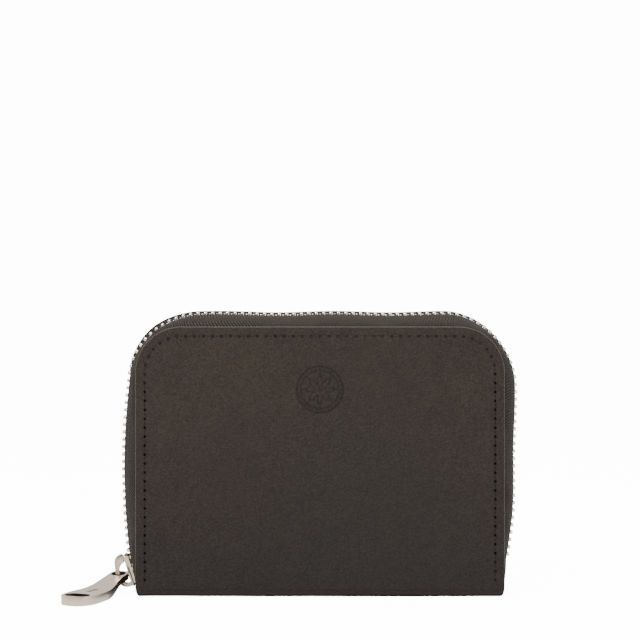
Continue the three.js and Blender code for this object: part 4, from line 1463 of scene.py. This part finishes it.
def pale_floor():
    """A white table top, lit from within where it is looked at, so that it fades into the backdrop."""
    look = Finish("pale_floor")
    seen = look.node("ShaderNodeLightPath", out="Is Camera Ray")
    speckle = look.noise(30.0, 2.0, 0.5)
    body = look.mix(speckle, (0.84, 0.84, 0.84, 1.0), (0.88, 0.88, 0.88, 1.0))
    glow = look.node("ShaderNodeEmission", None, {"Strength": BACKDROP_GLOW - 0.9})
    glow.finish.feed(glow.socket.node.inputs["Color"], (1.0, 1.0, 1.0, 1.0))
    painted = look.surface
    look.finish(Base_Color=body, Roughness=0.9, Specular_IOR_Level=0.1)
    both = look.node("ShaderNodeAddShader", None, {0: Wire(look, painted.outputs[0]), 1: glow})
    shown = look.node("ShaderNodeMixShader", None, {0: seen, 1: Wire(look, painted.outputs[0]), 2: both})
    look.feed(look.tree.nodes["Material Output"].inputs["Surface"], shown)
    return look.material


def add_area(name, place, target, size, power):
    light = bpy.data.lights.new(name, "AREA")
    light.shape = "RECTANGLE"
    light.size, light.size_y = size
    light.energy = power
    lamp = bpy.data.objects.new(name, light)
    lamp.location = place
    lamp.rotation_euler = (Vector(target) - Vector(place)).to_track_quat("-Z", "Y").to_euler()
    bpy.context.scene.collection.objects.link(lamp)
    return lamp


def white_studio(strength):
    """An even white surround that looks brighter than it lights, darker towards -Y for metal to mirror."""
    world = bpy.data.worlds.new("studio")
    bpy.context.scene.world = world
    world.use_nodes = True
    nodes, links = world.node_tree.nodes, world.node_tree.links
    sky = nodes["Background"]
    sky.inputs["Color"].default_value = (1.0, 1.0, 1.0, 1.0)
    rays = nodes.new("ShaderNodeLightPath")
    aim = nodes.new("ShaderNodeTexCoord")
    split = nodes.new("ShaderNodeSeparateXYZ")
    links.new(aim.outputs["Generated"], split.inputs["Vector"])
    card = nodes.new("ShaderNodeMapRange")
    card.interpolation_type = "SMOOTHSTEP"
    card.inputs["From Min"].default_value = -0.45
    card.inputs["From Max"].default_value = -0.8
    card.inputs["To Min"].default_value = strength
    card.inputs["To Max"].default_value = strength * 0.1
    links.new(split.outputs["Y"], card.inputs["Value"])
    level = nodes.new("ShaderNodeMapRange")
    level.inputs["To Max"].default_value = BACKDROP_GLOW
    links.new(rays.outputs["Is Camera Ray"], level.inputs["Value"])
    links.new(card.outputs["Result"], level.inputs["To Min"])
    links.new(level.outputs["Result"], sky.inputs["Strength"])


deselect_all()
bpy.ops.mesh.primitive_plane_add(size=14, location=(0, 0, -0.0003))
floor = bpy.context.object
floor.name = "floor"
floor.data.materials.append(pale_floor())

white_studio(0.95)
add_area("key", (-0.35, -0.55, 0.8), (0, 0, 0.05), (0.5, 0.5), 14.0)
add_area("fill", (0.6, -0.5, 0.35), (0, 0, 0.05), (0.5, 0.5), 3.0)
add_area("top", (0.1, 0.1, 0.9), (0, 0, 0.05), (0.6, 0.4), 6.0)

camera_data = bpy.data.cameras.new("camera")
camera_data.sensor_width = 36.0
camera_data.lens = 89.4
camera_data.clip_start = 0.01
camera_data.clip_end = 30.0
camera = bpy.data.objects.new("camera", camera_data)
camera.location = (0, -0.5625, 0.096)
camera.rotation_euler = (math.pi / 2, 0, 0)
bpy.context.scene.collection.objects.link(camera)
bpy.context.scene.camera = camera
